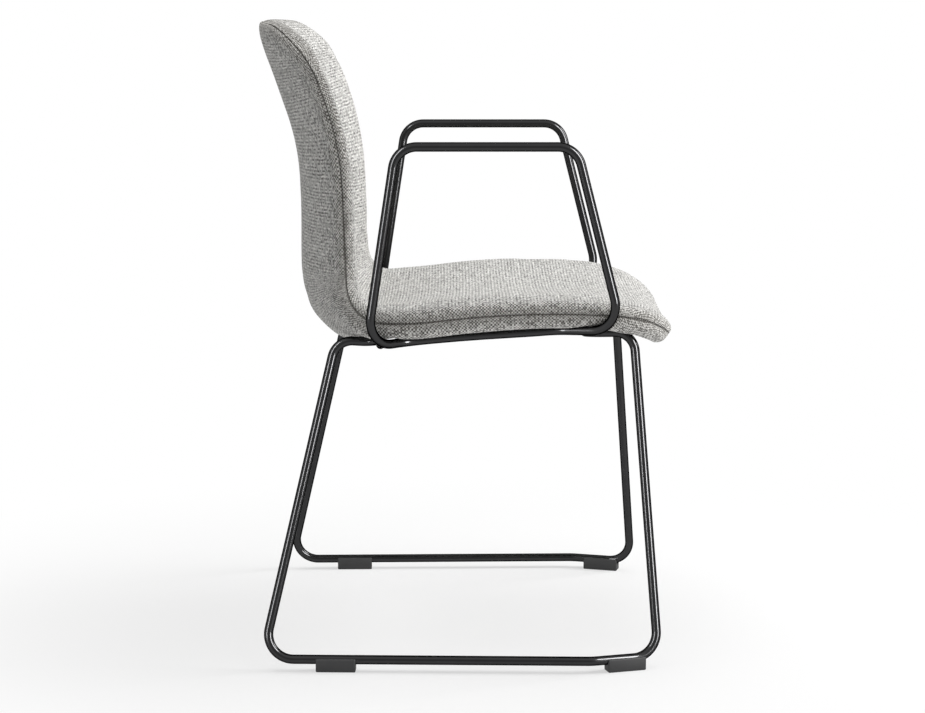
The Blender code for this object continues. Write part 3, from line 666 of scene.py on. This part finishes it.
def sheet_places(sheet):
    """For each point of the flat sheet: its ring, column and row, and its place (s, x) on the shell."""
    places = []
    for vert in sheet.data.vertices:
        size = max(abs(vert.co.x), abs(vert.co.y))
        ring = max(0, round((size - 1.0) / ring_step))
        scale = 1.0 + ring_step * ring
        column = round((vert.co.x / scale + 1.0) / 2.0 * sheet_columns)
        row = round((vert.co.y / scale + 1.0) / 2.0 * sheet_rows)
        on_rim = column in (0, sheet_columns) or row in (0, sheet_rows)
        spot = rim_point(outlines[ring], column, row) if on_rim else inner_point(column, row)
        places.append((ring, column, row, on_rim, spot))
    return places


def weave_lengths(depth, facing):
    """Length of cloth along the cover's middle, so that the weave keeps its size through the bends."""
    lengths = [0.0]
    last = None
    for k in range(length_steps + 1):
        s = profile_length * k / length_steps
        point, normal = profile_at(s)
        outside = point + normal * depth(s) * facing
        if last is not None:
            lengths.append(lengths[-1] + (outside - last).length)
        last = outside
    return lengths


def read_length(lengths, s):
    share = min(1.0, max(0.0, s / profile_length)) * length_steps
    index = min(length_steps - 1, int(share))
    return lengths[index] + (lengths[index + 1] - lengths[index]) * (share - index)


rod_lowest = 0.38
underside_lowest = 0.40
underside_highest = 0.46
dent_reach = 0.005
cloth_gap = 0.0012
press_rounds = 4
mirror_margin = 0.01
rod_pieces = []
for sign in sides.values():
    for corners, bend_radii in ((sled_corners, sled_bend_radii), (arm_corners, arm_bend_radii)):
        line = rod_line(corners, bend_radii, sign)
        for first, second in zip(line, line[1:]):
            if rod_lowest < min(first.z, second.z) < underside_highest:
                rod_pieces.append((sign, first, second))


def rod_distance(place):
    """Distance from the nearest rod's centre line."""
    nearest = math.inf
    for sign, first, second in rod_pieces:
        if sign * place.x < -mirror_margin:
            continue
        way = second - first
        share = min(1.0, max(0.0, (place - first).dot(way) / way.length_squared))
        nearest = min(nearest, (first + way * share - place).length)
    return nearest


def pressed_up(place, up):
    """Dent the soft underside where a rod bears on it, so that the cloth lies over the rod."""
    reach = rod_radius + dent_reach
    bed = rod_radius + cloth_gap
    for _ in range(press_rounds):
        distance = rod_distance(place)
        if distance >= reach:
            break
        place = place + up * cloth_gap * (1.0 - distance / reach)
        if distance < bed:
            place = place + up * (bed - distance)
    return place


def seam_length(outline, column, row):
    """Length along the seam from the right front corner, for a point on the sheet's edge."""
    front = outline["front"]
    if row == 0:
        return sum(math.dist(a, b) for a, b in zip(front[:column], front[1 : column + 1]))
    if row == sheet_rows:
        return outline["side_length"] + math.dist(outline["top"][0], outline["top"][column])
    start = 0.0 if column == 0 else outline["front_length"]
    return start + outline["side_length"] * row / sheet_rows


def lay_over_foam(places, depth, edge, facing):
    """Place of each point of the sheet, laid over the foam a little flat and dented by the rods."""
    laid = []
    for *_, (s, x) in places:
        inset, _ = edge_distance(s, x)
        held_back = cloth_slack * ease(inset, 0.0, slack_reach)
        place = cover_outside(s, x, depth(s) - held_back, edge(s), facing)
        if facing < 0.0 and underside_lowest < place.z < underside_highest:
            place = pressed_up(place, surface_normal(s, x))
        laid.append(place)
    return laid


def roll_cloth_lengths(places, laid):
    """Length of cloth from the seam up the rolled edge to each of its rings, for each point of the rim."""
    ring_spots = {}
    for number, (ring, column, row, on_rim, _) in enumerate(places):
        if on_rim:
            ring_spots[ring, column, row] = number
    last_ring = len(roll_insets) - 1
    rolls = {}
    for ring, column, row in ring_spots:
        if ring < last_ring:
            continue
        lengths = [0.0]
        for k in range(last_ring, 0, -1):
            first = laid[ring_spots[k, column, row]]
            second = laid[ring_spots[k - 1, column, row]]
            lengths.append(lengths[-1] + (second - first).length)
        rolls[column, row] = lengths[::-1]
    return rolls


def sew_cover(name, depth, edge, facing):
    """Cut a cover, lay it over the foam and mark the run of its threads and of its seam."""
    sheet = flat_sheet(name)
    places = sheet_places(sheet)
    laid = lay_over_foam(places, depth, edge, facing)
    mesh = sheet.data
    for vert, place in zip(mesh.vertices, laid):
        vert.co = place
    rolls = roll_cloth_lengths(places, laid)
    inner_length = sum(lengths[0] for lengths in rolls.values()) / len(rolls) - roll_insets[0]
    woven = weave_lengths(depth, facing)
    threads = []
    for mark in seam_marks:
        mesh.attributes.new(mark, "FLOAT", "POINT")
    from_seam, along_seam, top_corner = (mesh.attributes[mark].data for mark in seam_marks)
    for number, (ring, column, row, on_rim, (s, x)) in enumerate(places):
        inset, outward = edge_distance(s, x)
        spare = 0.0
        from_seam[number].value = inner_length + inset
        if on_rim:
            lengths = rolls[column, row]
            spare = lengths[0] - lengths[ring] - roll_insets[0] + roll_insets[ring]
            from_seam[number].value = lengths[ring]
            along_seam[number].value = seam_length(outlines[-1], column, row)
        top_corner[number].value = ease(s, profile_length - welt_begins, profile_length - welt_full)
        threads.append((x + outward[1] * spare, read_length(woven, s) + outward[0] * spare))
    weave = mesh.uv_layers[0]
    weave.name = "weave"
    for loop in mesh.loops:
        weave.data[loop.index].uv = threads[loop.vertex_index]
    if facing < 0.0:
        bpy.ops.object.mode_set(mode="EDIT")
        bpy.ops.mesh.select_all(action="SELECT")
        bpy.ops.mesh.flip_normals()
        bpy.ops.object.mode_set(mode="OBJECT")
    return sheet


def calc(tree, operation, *values):
    """Add a maths node and return its result; a value is a number or another node's socket."""
    node = tree.nodes.new("ShaderNodeMath")
    node.operation = operation
    for number, value in enumerate(values):
        if isinstance(value, (int, float)):
            node.inputs[number].default_value = value
        else:
            tree.links.new(value, node.inputs[number])
    return node.outputs["Value"]


def plane_noise(tree, across, along, detail):
    """Noise over two values that are already scaled to its grain."""
    place = tree.nodes.new("ShaderNodeCombineXYZ")
    tree.links.new(across, place.inputs["X"])
    tree.links.new(along, place.inputs["Y"])
    node = tree.nodes.new("ShaderNodeTexNoise")
    node.noise_dimensions = "2D"
    preset(node, {"Scale": 1.0, "Detail": detail})
    tree.links.new(place.outputs["Vector"], node.inputs["Vector"])
    return node.outputs["Fac"]


def read_mark(tree, name):
    node = tree.nodes.new("ShaderNodeAttribute")
    node.attribute_name = name
    return node.outputs["Fac"]


# Weave: pitches and wander of the yarns, and what each adds to the share of light yarn.
rib_pitch = 0.0043
pick_pitch = 0.0040
wander_grain = 90.0
rib_wander = 0.0026
pick_wander = 0.0012
fibre_grain = 750.0
yarn_row_step = 3.7
slub_length = 0.024
fleck_length = 0.0042
slub_weight = 0.4
fleck_weight = 0.5
rib_weight = 0.19
fibre_weight = 1.1
knot_weight = 0.22
chance_weight = 0.75
light_share = 0.56
edge_knot_weight = 1.0
edge_grid_weight = 0.15
edge_chance_weight = 0.1
edge_light_share = -0.03
edge_zone = (0.010, 0.040)
spot_zone = (0.003, 0.014)
spot_at_seam = 0.40
spot_range = 0.30
light_spot_weight = 0.75
chance_in_heather = 0.5
# Seam: distances from the sewn line, and the strength of what shows there.
stitch_pitch = 0.0046
gather_pitch = 0.0042
welt_width = 0.0056
stitch_dip = 0.10
finer_on_back = 0.6
seam_line_zone = (0.0006, 0.0020)
seam_line_weight = 0.9
seam_tint_zone = (0.002, 0.022)
seam_tint_weight = 0.16
second_line_zone = (0.0003, 0.0011)
second_line_weight = 0.5
fold_start_zone = (0.006, 0.008)
fold_end_zone = (0.014, 0.026)
fold_shade_weight = 0.8
near_seam_tone = (0.30, 0.27, 0.215, 1.0)
# The second line's brown, which also paints shade into the gathers' folds, and the painted shadow of the sewn
# line.
seam_brown_and_fold_shade = (0.105, 0.095, 0.080, 1.0)
seam_shadow = (0.060, 0.054, 0.045, 1.0)
# Relief of the cloth.
knot_height = 0.35
rib_height = 0.25
fibre_height = 0.35
welt_height = 0.9
fold_height = -1.6
full_turn = 2.0 * math.pi

tree = bpy.data.node_groups.new("heather_weave", "ShaderNodeTree")
weave_group = tree
for name in ("Light Yarn", "Dark Yarn"):
    tree.interface.new_socket(name, in_out="INPUT", socket_type="NodeSocketColor")
for name in ("Welt", "Spots"):
    tree.interface.new_socket(name, in_out="INPUT", socket_type="NodeSocketFloat")
tree.interface.new_socket("Color", in_out="OUTPUT", socket_type="NodeSocketColor")
tree.interface.new_socket("Height", in_out="OUTPUT", socket_type="NodeSocketFloat")
cloth_in = tree.nodes.new("NodeGroupInput")
cloth_out = tree.nodes.new("NodeGroupOutput")
light_yarn = cloth_in.outputs["Light Yarn"]
dark_yarn = cloth_in.outputs["Dark Yarn"]
thread_map = tree.nodes.new("ShaderNodeUVMap")
thread_map.uv_map = "weave"
threads = tree.nodes.new("ShaderNodeSeparateXYZ")
tree.links.new(thread_map.outputs["UV"], threads.inputs["Vector"])
weft = threads.outputs["X"]
warp = threads.outputs["Y"]
from_seam, along_seam, top_corner = (read_mark(tree, mark) for mark in seam_marks)

# Ribs across the cloth and picks along it, each wandering a little, with a knot where they cross.
wander_across = calc(tree, "MULTIPLY", weft, wander_grain)
wander_along = calc(tree, "MULTIPLY", warp, wander_grain)
wander = plane_noise(tree, wander_across, wander_along, 2.0)
rib = calc(tree, "DIVIDE", calc(tree, "MULTIPLY_ADD", wander, rib_wander, warp), rib_pitch)
half_rib = calc(tree, "FLOOR", calc(tree, "MULTIPLY", rib, 2.0))
rib_wave = calc(tree, "SINE", calc(tree, "MULTIPLY", rib, full_turn))
pick = calc(tree, "DIVIDE", calc(tree, "MULTIPLY_ADD", wander, pick_wander, weft), pick_pitch)
half_pick = calc(tree, "FLOOR", calc(tree, "MULTIPLY", pick, 2.0))
pick_wave = calc(tree, "SINE", calc(tree, "MULTIPLY", pick, full_turn))
knot = calc(tree, "MULTIPLY", rib_wave, pick_wave)
grid = calc(tree, "ADD", rib_wave, pick_wave)
knot_place = tree.nodes.new("ShaderNodeCombineXYZ")
tree.links.new(half_pick, knot_place.inputs["X"])
tree.links.new(half_rib, knot_place.inputs["Y"])
knot_chance = tree.nodes.new("ShaderNodeTexWhiteNoise")
knot_chance.noise_dimensions = "2D"
tree.links.new(knot_place.outputs["Vector"], knot_chance.inputs["Vector"])
chance = calc(tree, "SUBTRACT", knot_chance.outputs["Value"], 0.5)

# Heathered yarn: long slubs and short flecks along each yarn, and single fibres.
yarn_row = calc(tree, "MULTIPLY", half_rib, yarn_row_step)
slub = plane_noise(tree, calc(tree, "DIVIDE", weft, slub_length), yarn_row, 1.0)
slub = calc(tree, "SUBTRACT", slub, 0.5)
fleck = plane_noise(tree, calc(tree, "DIVIDE", weft, fleck_length), yarn_row, 1.0)
fleck = calc(tree, "SUBTRACT", fleck, 0.5)
fibre_across = calc(tree, "MULTIPLY", weft, fibre_grain)
fibre_along = calc(tree, "MULTIPLY", warp, fibre_grain)
fibre = plane_noise(tree, fibre_across, fibre_along, 2.0)

# Share of light yarn; the knots stand out more on the tight cloth beside the seam.
edge = ramp(tree, from_seam, *edge_zone, 1.0, 0.0)
tone = calc(tree, "MULTIPLY", slub, slub_weight)
tone = calc(tree, "MULTIPLY_ADD", fleck, fleck_weight, tone)
tone = calc(tree, "MULTIPLY_ADD", rib_wave, rib_weight, tone)
tone = calc(tree, "MULTIPLY_ADD", calc(tree, "SUBTRACT", fibre, 0.5), fibre_weight, tone)
for part, edge_weight, weight in (
    (knot, edge_knot_weight, knot_weight),
    (grid, edge_grid_weight, 0.0),
    (chance, edge_chance_weight, chance_weight),
):
    tone = calc(tree, "MULTIPLY_ADD", part, calc(tree, "MULTIPLY_ADD", edge, edge_weight, weight), tone)
tone = calc(tree, "ADD", tone, calc(tree, "MULTIPLY_ADD", edge, edge_light_share, light_share))
yarn = mixed(tree, tone, dark_yarn, light_yarn)
heather = calc(tree, "MULTIPLY_ADD", chance, chance_in_heather, fleck)
spotted = calc(tree, "MULTIPLY", edge, ramp(tree, from_seam, *spot_zone, spot_at_seam, 1.0))
spotted = calc(tree, "MULTIPLY", spotted, cloth_in.outputs["Spots"])
dark_spot = calc(tree, "MULTIPLY", spotted, ramp(tree, heather, -spot_range, 0.0, 1.0, 0.0))
light_spot = calc(tree, "MULTIPLY", spotted, ramp(tree, heather, 0.0, spot_range, 0.0, light_spot_weight))
yarn = mixed(tree, dark_spot, yarn, dark_yarn)
yarn = mixed(tree, light_spot, yarn, light_yarn)

# Seam: a dark sewn line, finer on the back and deepened with painted shadow, and a welt with gathers at the
# back's top corners, whose folds carry painted shade.
stitch = calc(tree, "SINE", calc(tree, "MULTIPLY", along_seam, full_turn / stitch_pitch))
stitch = calc(tree, "MULTIPLY_ADD", stitch, stitch_dip, 1.0 - stitch_dip)
finer = calc(tree, "MULTIPLY", from_seam, calc(tree, "MULTIPLY_ADD", top_corner, finer_on_back, 1.0))
seam_line = calc(tree, "MULTIPLY", ramp(tree, finer, *seam_line_zone, seam_line_weight, 0.0), stitch)
seam_tint = ramp(tree, from_seam, *seam_tint_zone, seam_tint_weight, 0.0)
welt = calc(tree, "MULTIPLY", top_corner, cloth_in.outputs["Welt"])
second_line = calc(tree, "ABSOLUTE", calc(tree, "SUBTRACT", from_seam, welt_width))
second_line = ramp(tree, second_line, *second_line_zone, second_line_weight, 0.0)
second_line = calc(tree, "MULTIPLY", second_line, welt)
gather = calc(tree, "SINE", calc(tree, "MULTIPLY", along_seam, full_turn / gather_pitch))
fold = ramp(tree, from_seam, *fold_start_zone)
fold = calc(tree, "MULTIPLY", fold, ramp(tree, from_seam, *fold_end_zone, 1.0, 0.0))
fold = calc(tree, "MULTIPLY", calc(tree, "MULTIPLY", fold, welt), gather)
fold_shade = calc(tree, "MAXIMUM", calc(tree, "MULTIPLY", fold, fold_shade_weight), 0.0)
# The cloth turns a little darker and warmer towards the seam.
yarn = mixed(tree, seam_tint, yarn, near_seam_tone)
yarn = mixed(tree, second_line, yarn, seam_brown_and_fold_shade)
# Painted shadow: the sewn line is darkened to near black, as the shadow in its groove.
yarn = mixed(tree, seam_line, yarn, seam_shadow)
# Painted shade: the folds of the gathers are darkened with the seam's brown.
yarn = mixed(tree, fold_shade, yarn, seam_brown_and_fold_shade)
tree.links.new(yarn, cloth_out.inputs["Color"])
height = calc(tree, "MULTIPLY", rib_wave, rib_height)
height = calc(tree, "MULTIPLY_ADD", knot, knot_height, height)
height = calc(tree, "MULTIPLY_ADD", fibre, fibre_height, height)
ridge = calc(tree, "MULTIPLY", calc(tree, "MINIMUM", from_seam, welt_width), math.pi / welt_width)
ridge = calc(tree, "SINE", ridge)
height = calc(tree, "MULTIPLY_ADD", calc(tree, "MULTIPLY", ridge, welt), welt_height, height)
height = calc(tree, "MULTIPLY_ADD", fold, fold_height, height)
tree.links.new(height, cloth_out.inputs["Height"])


def heather_cloth(name, welt, spots):
    """Matte woven cloth of two heathered yarns, with a sewn edge."""
    finish, tree, shader = start_finish(name)
    preset(shader, {"Roughness": 0.92, "Specular IOR Level": 0.06})
    preset(shader, {"Sheen Weight": 0.10, "Sheen Roughness": 0.5})
    weave = tree.nodes.new("ShaderNodeGroup")
    weave.node_tree = weave_group
    preset(weave, {"Light Yarn": light_grey, "Dark Yarn": dark_grey, "Welt": welt, "Spots": spots})
    tree.links.new(weave.outputs["Color"], shader.inputs["Base Color"])
    raised(tree, shader, weave.outputs["Height"], strength=0.5, distance=0.0007)
    return finish


seam_width = 0.0005
seam_join = 0.00002
stuffing_steps = 20


def pad_out(cover, pressure, cap):
    """Blow the cover up like cloth over soft foam, held along the seam, and keep it near its cut shape."""
    mesh = cover.data
    cut_shape = [(vert.co.copy(), vert.normal.copy()) for vert in mesh.vertices]
    seam_line = cover.vertex_groups.new(name="seam_line")
    from_seam = mesh.attributes["from_seam"].data
    on_seam = [number for number, mark in enumerate(from_seam) if mark.value < seam_width]
    seam_line.add(on_seam, 1.0, "REPLACE")
    stuffing = cover.modifiers.new("stuffing", "CLOTH")
    cloth = stuffing.settings
    cloth.quality = 5
    cloth.mass = 0.3
    cloth.tension_stiffness = 30.0
    cloth.compression_stiffness = 30.0
    cloth.shear_stiffness = 10.0
    cloth.bending_stiffness = 1.0
    cloth.vertex_group_mass = seam_line.name
    cloth.use_pressure = True
    cloth.uniform_pressure_force = pressure
    cloth.effector_weights.gravity = 0.0
    stuffing.point_cache.frame_start = 1
    stuffing.point_cache.frame_end = stuffing_steps
    for step in range(1, stuffing_steps + 1):
        bpy.context.scene.frame_set(step)
    bpy.ops.object.select_all(action="DESELECT")
    cover.select_set(True)
    bpy.context.view_layer.objects.active = cover
    bpy.ops.object.modifier_apply(modifier=stuffing.name)
    bpy.context.scene.frame_set(1)
    for vert, (spot, outward) in zip(cover.data.vertices, cut_shape):
        move = vert.co - spot
        move -= outward * min(0.0, move.dot(outward))
        vert.co = spot + move * min(1.0, cap / max(move.length, 0.000001))
    cover.vertex_groups.clear()


def close_cover(cover, facing):
    """Add the inner face that lies on the core, joined to the cover along the seam."""
    lining = flat_sheet("lining")
    for vert, (*_, (s, x)) in zip(lining.data.vertices, sheet_places(lining)):
        vert.co = cover_inside(s, x, facing)
    lining.data.uv_layers[0].name = "weave"
    bpy.ops.object.mode_set(mode="EDIT")
    bpy.ops.mesh.select_all(action="SELECT")
    if facing > 0.0:
        bpy.ops.mesh.flip_normals()
    bpy.ops.object.mode_set(mode="OBJECT")
    for mark in seam_marks:
        copied = lining.data.attributes.new(mark, "FLOAT", "POINT")
        for value, marked in zip(copied.data, cover.data.attributes[mark].data):
            value.value = marked.value
    bpy.ops.object.select_all(action="DESELECT")
    lining.select_set(True)
    cover.select_set(True)
    bpy.context.view_layer.objects.active = cover
    bpy.ops.object.join()
    bpy.ops.object.mode_set(mode="EDIT")
    bpy.ops.mesh.select_all(action="SELECT")
    bpy.ops.mesh.region_to_loop()
    bpy.ops.transform.edge_crease(value=1.0)
    bpy.ops.mesh.select_all(action="SELECT")
    bpy.ops.mesh.remove_doubles(threshold=seam_join)
    bpy.ops.object.mode_set(mode="OBJECT")
    soften = cover.modifiers.new("soften", "SUBSURF")
    soften.levels = 1
    soften.render_levels = 1
    bpy.ops.object.modifier_apply(modifier=soften.name)
    bpy.ops.object.shade_smooth()


light_grey = (0.81, 0.80, 0.773, 1.0)
dark_grey = (0.09, 0.087, 0.082, 1.0)
front_cloth = heather_cloth("heather_cloth_front", welt=1.0, spots=0.36)
rear_cloth = heather_cloth("heather_cloth_rear", welt=0.0, spots=0.55)
covers = {
    "front": (front_depth, front_edge, 1.0, "front_upholstery", "front_fabric", front_cloth),
    "rear": (rear_depth, rear_edge, -1.0, "rear_upholstery", "rear_fabric", rear_cloth),
}
for end, (depth, edge, facing, node, slot, cloth_finish) in covers.items():
    cover = sew_cover(f"{end}_cover", depth, edge, facing)
    pad_out(cover, pressure=4.0, cap=0.0022)
    close_cover(cover, facing)
    dress(cover, cloth_finish)
    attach(cover, "root")
    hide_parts(node)

# Studio: a pale floor that keeps the chair's soft shadow, and a white surround.
# Far from the chair the floor runs out into the white, so no horizon shows.

floor_size = 14.0
floor_white = (0.95, 0.95, 0.95, 1.0)
shadow_ends = 0.25
white_begins = 1.0
white_near_chair = 0.55
surround_dim = 0.29


def seen_ray(tree):
    """One for a ray from the camera or through a reflection or glass, and zero for the light in the room."""
    ray = tree.nodes.new("ShaderNodeLightPath")
    seen = calc(tree, "MAXIMUM", ray.outputs["Is Camera Ray"], ray.outputs["Is Glossy Ray"])
    return calc(tree, "MAXIMUM", seen, ray.outputs["Is Transmission Ray"])


bpy.ops.object.select_all(action="DESELECT")
bpy.ops.mesh.primitive_plane_add(size=floor_size, location=(0.0, 0.0, 0.0))
floor = bpy.context.object
floor.name = "studio_floor"
finish, tree, shader = start_finish("studio_white")
preset(shader, {"Base Color": floor_white, "Roughness": 0.9, "Specular IOR Level": 0.0})
place = tree.nodes.new("ShaderNodeTexCoord")
away = tree.nodes.new("ShaderNodeVectorMath")
away.operation = "LENGTH"
tree.links.new(place.outputs["Object"], away.inputs[0])
fade = ramp(tree, away.outputs["Value"], shadow_ends, white_begins, white_near_chair, 1.0)
glow = tree.nodes.new("ShaderNodeEmission")
blend = tree.nodes.new("ShaderNodeMixShader")
tree.links.new(calc(tree, "MULTIPLY", seen_ray(tree), fade), blend.inputs["Fac"])
tree.links.new(shader.outputs["BSDF"], blend.inputs[1])
tree.links.new(glow.outputs["Emission"], blend.inputs[2])
tree.links.new(blend.outputs["Shader"], tree.nodes["Material Output"].inputs["Surface"])
dress(floor, finish)

world = bpy.data.worlds.new("studio_surround")
bpy.context.scene.world = world
world.use_nodes = True
surround = world.node_tree.nodes["Background"]
preset(surround, {"Color": (1.0, 1.0, 1.0, 1.0)})
seen = seen_ray(world.node_tree)
strength = calc(world.node_tree, "MULTIPLY_ADD", seen, 1.0 - surround_dim, surround_dim)
world.node_tree.links.new(strength, surround.inputs["Strength"])


def hang_light(name, place, aim, width, height, brightness):
    """Hang a softbox whose face shows the given brightness, where 1 is white."""
    bpy.ops.object.select_all(action="DESELECT")
    bpy.ops.object.light_add(type="AREA", location=place)
    softbox = bpy.context.object
    softbox.name = name
    softbox.data.shape = "RECTANGLE"
    softbox.data.size = width
    softbox.data.size_y = height
    softbox.data.energy = brightness * math.pi * width * height
    softbox.rotation_euler = (Vector(aim) - Vector(place)).to_track_quat("-Z", "Y").to_euler()
    softbox.visible_camera = False
    return softbox


top_softbox = hang_light(
    "top_softbox", place=(0.1, 0.25, 2.1), aim=(0.1, 0.1, 0.0), width=1.7, height=1.7, brightness=1.9
)
top_softbox.visible_glossy = False
hang_light(
    "front_softbox", place=(0.3, -2.3, 1.7), aim=(0.0, 0.0, 0.55), width=1.3, height=1.3, brightness=11.8
)
front_strip = hang_light(
    "front_strip", place=(-1.9, -1.9, 1.3), aim=(0.0, 0.0, 0.45), width=0.60, height=2.8, brightness=30.0
)
rear_strip = hang_light(
    "rear_strip", place=(-1.9, 1.7, 1.3), aim=(0.0, 0.0, 0.45), width=0.40, height=2.8, brightness=22.0
)
for strip in (front_strip, rear_strip):
    strip.visible_diffuse = False

# Camera: just above the height of the back's top, straight at the chair's right side and a little down.
# Its lens and distance come from the widths of the near and the far rods in the photograph.

camera_place = (-3.262, 0.0004, 0.8646)
camera_pitch = math.radians(8.708)
camera_lens = 93.64
bpy.ops.object.select_all(action="DESELECT")
bpy.ops.object.camera_add(location=camera_place)
camera = bpy.context.object
camera.rotation_euler = (math.pi / 2.0 - camera_pitch, 0.0, -math.pi / 2.0)
camera.data.sensor_width = 36.0
camera.data.lens = camera_lens
bpy.context.scene.camera = camera
bpy.context.scene.view_settings.view_transform = "Standard"
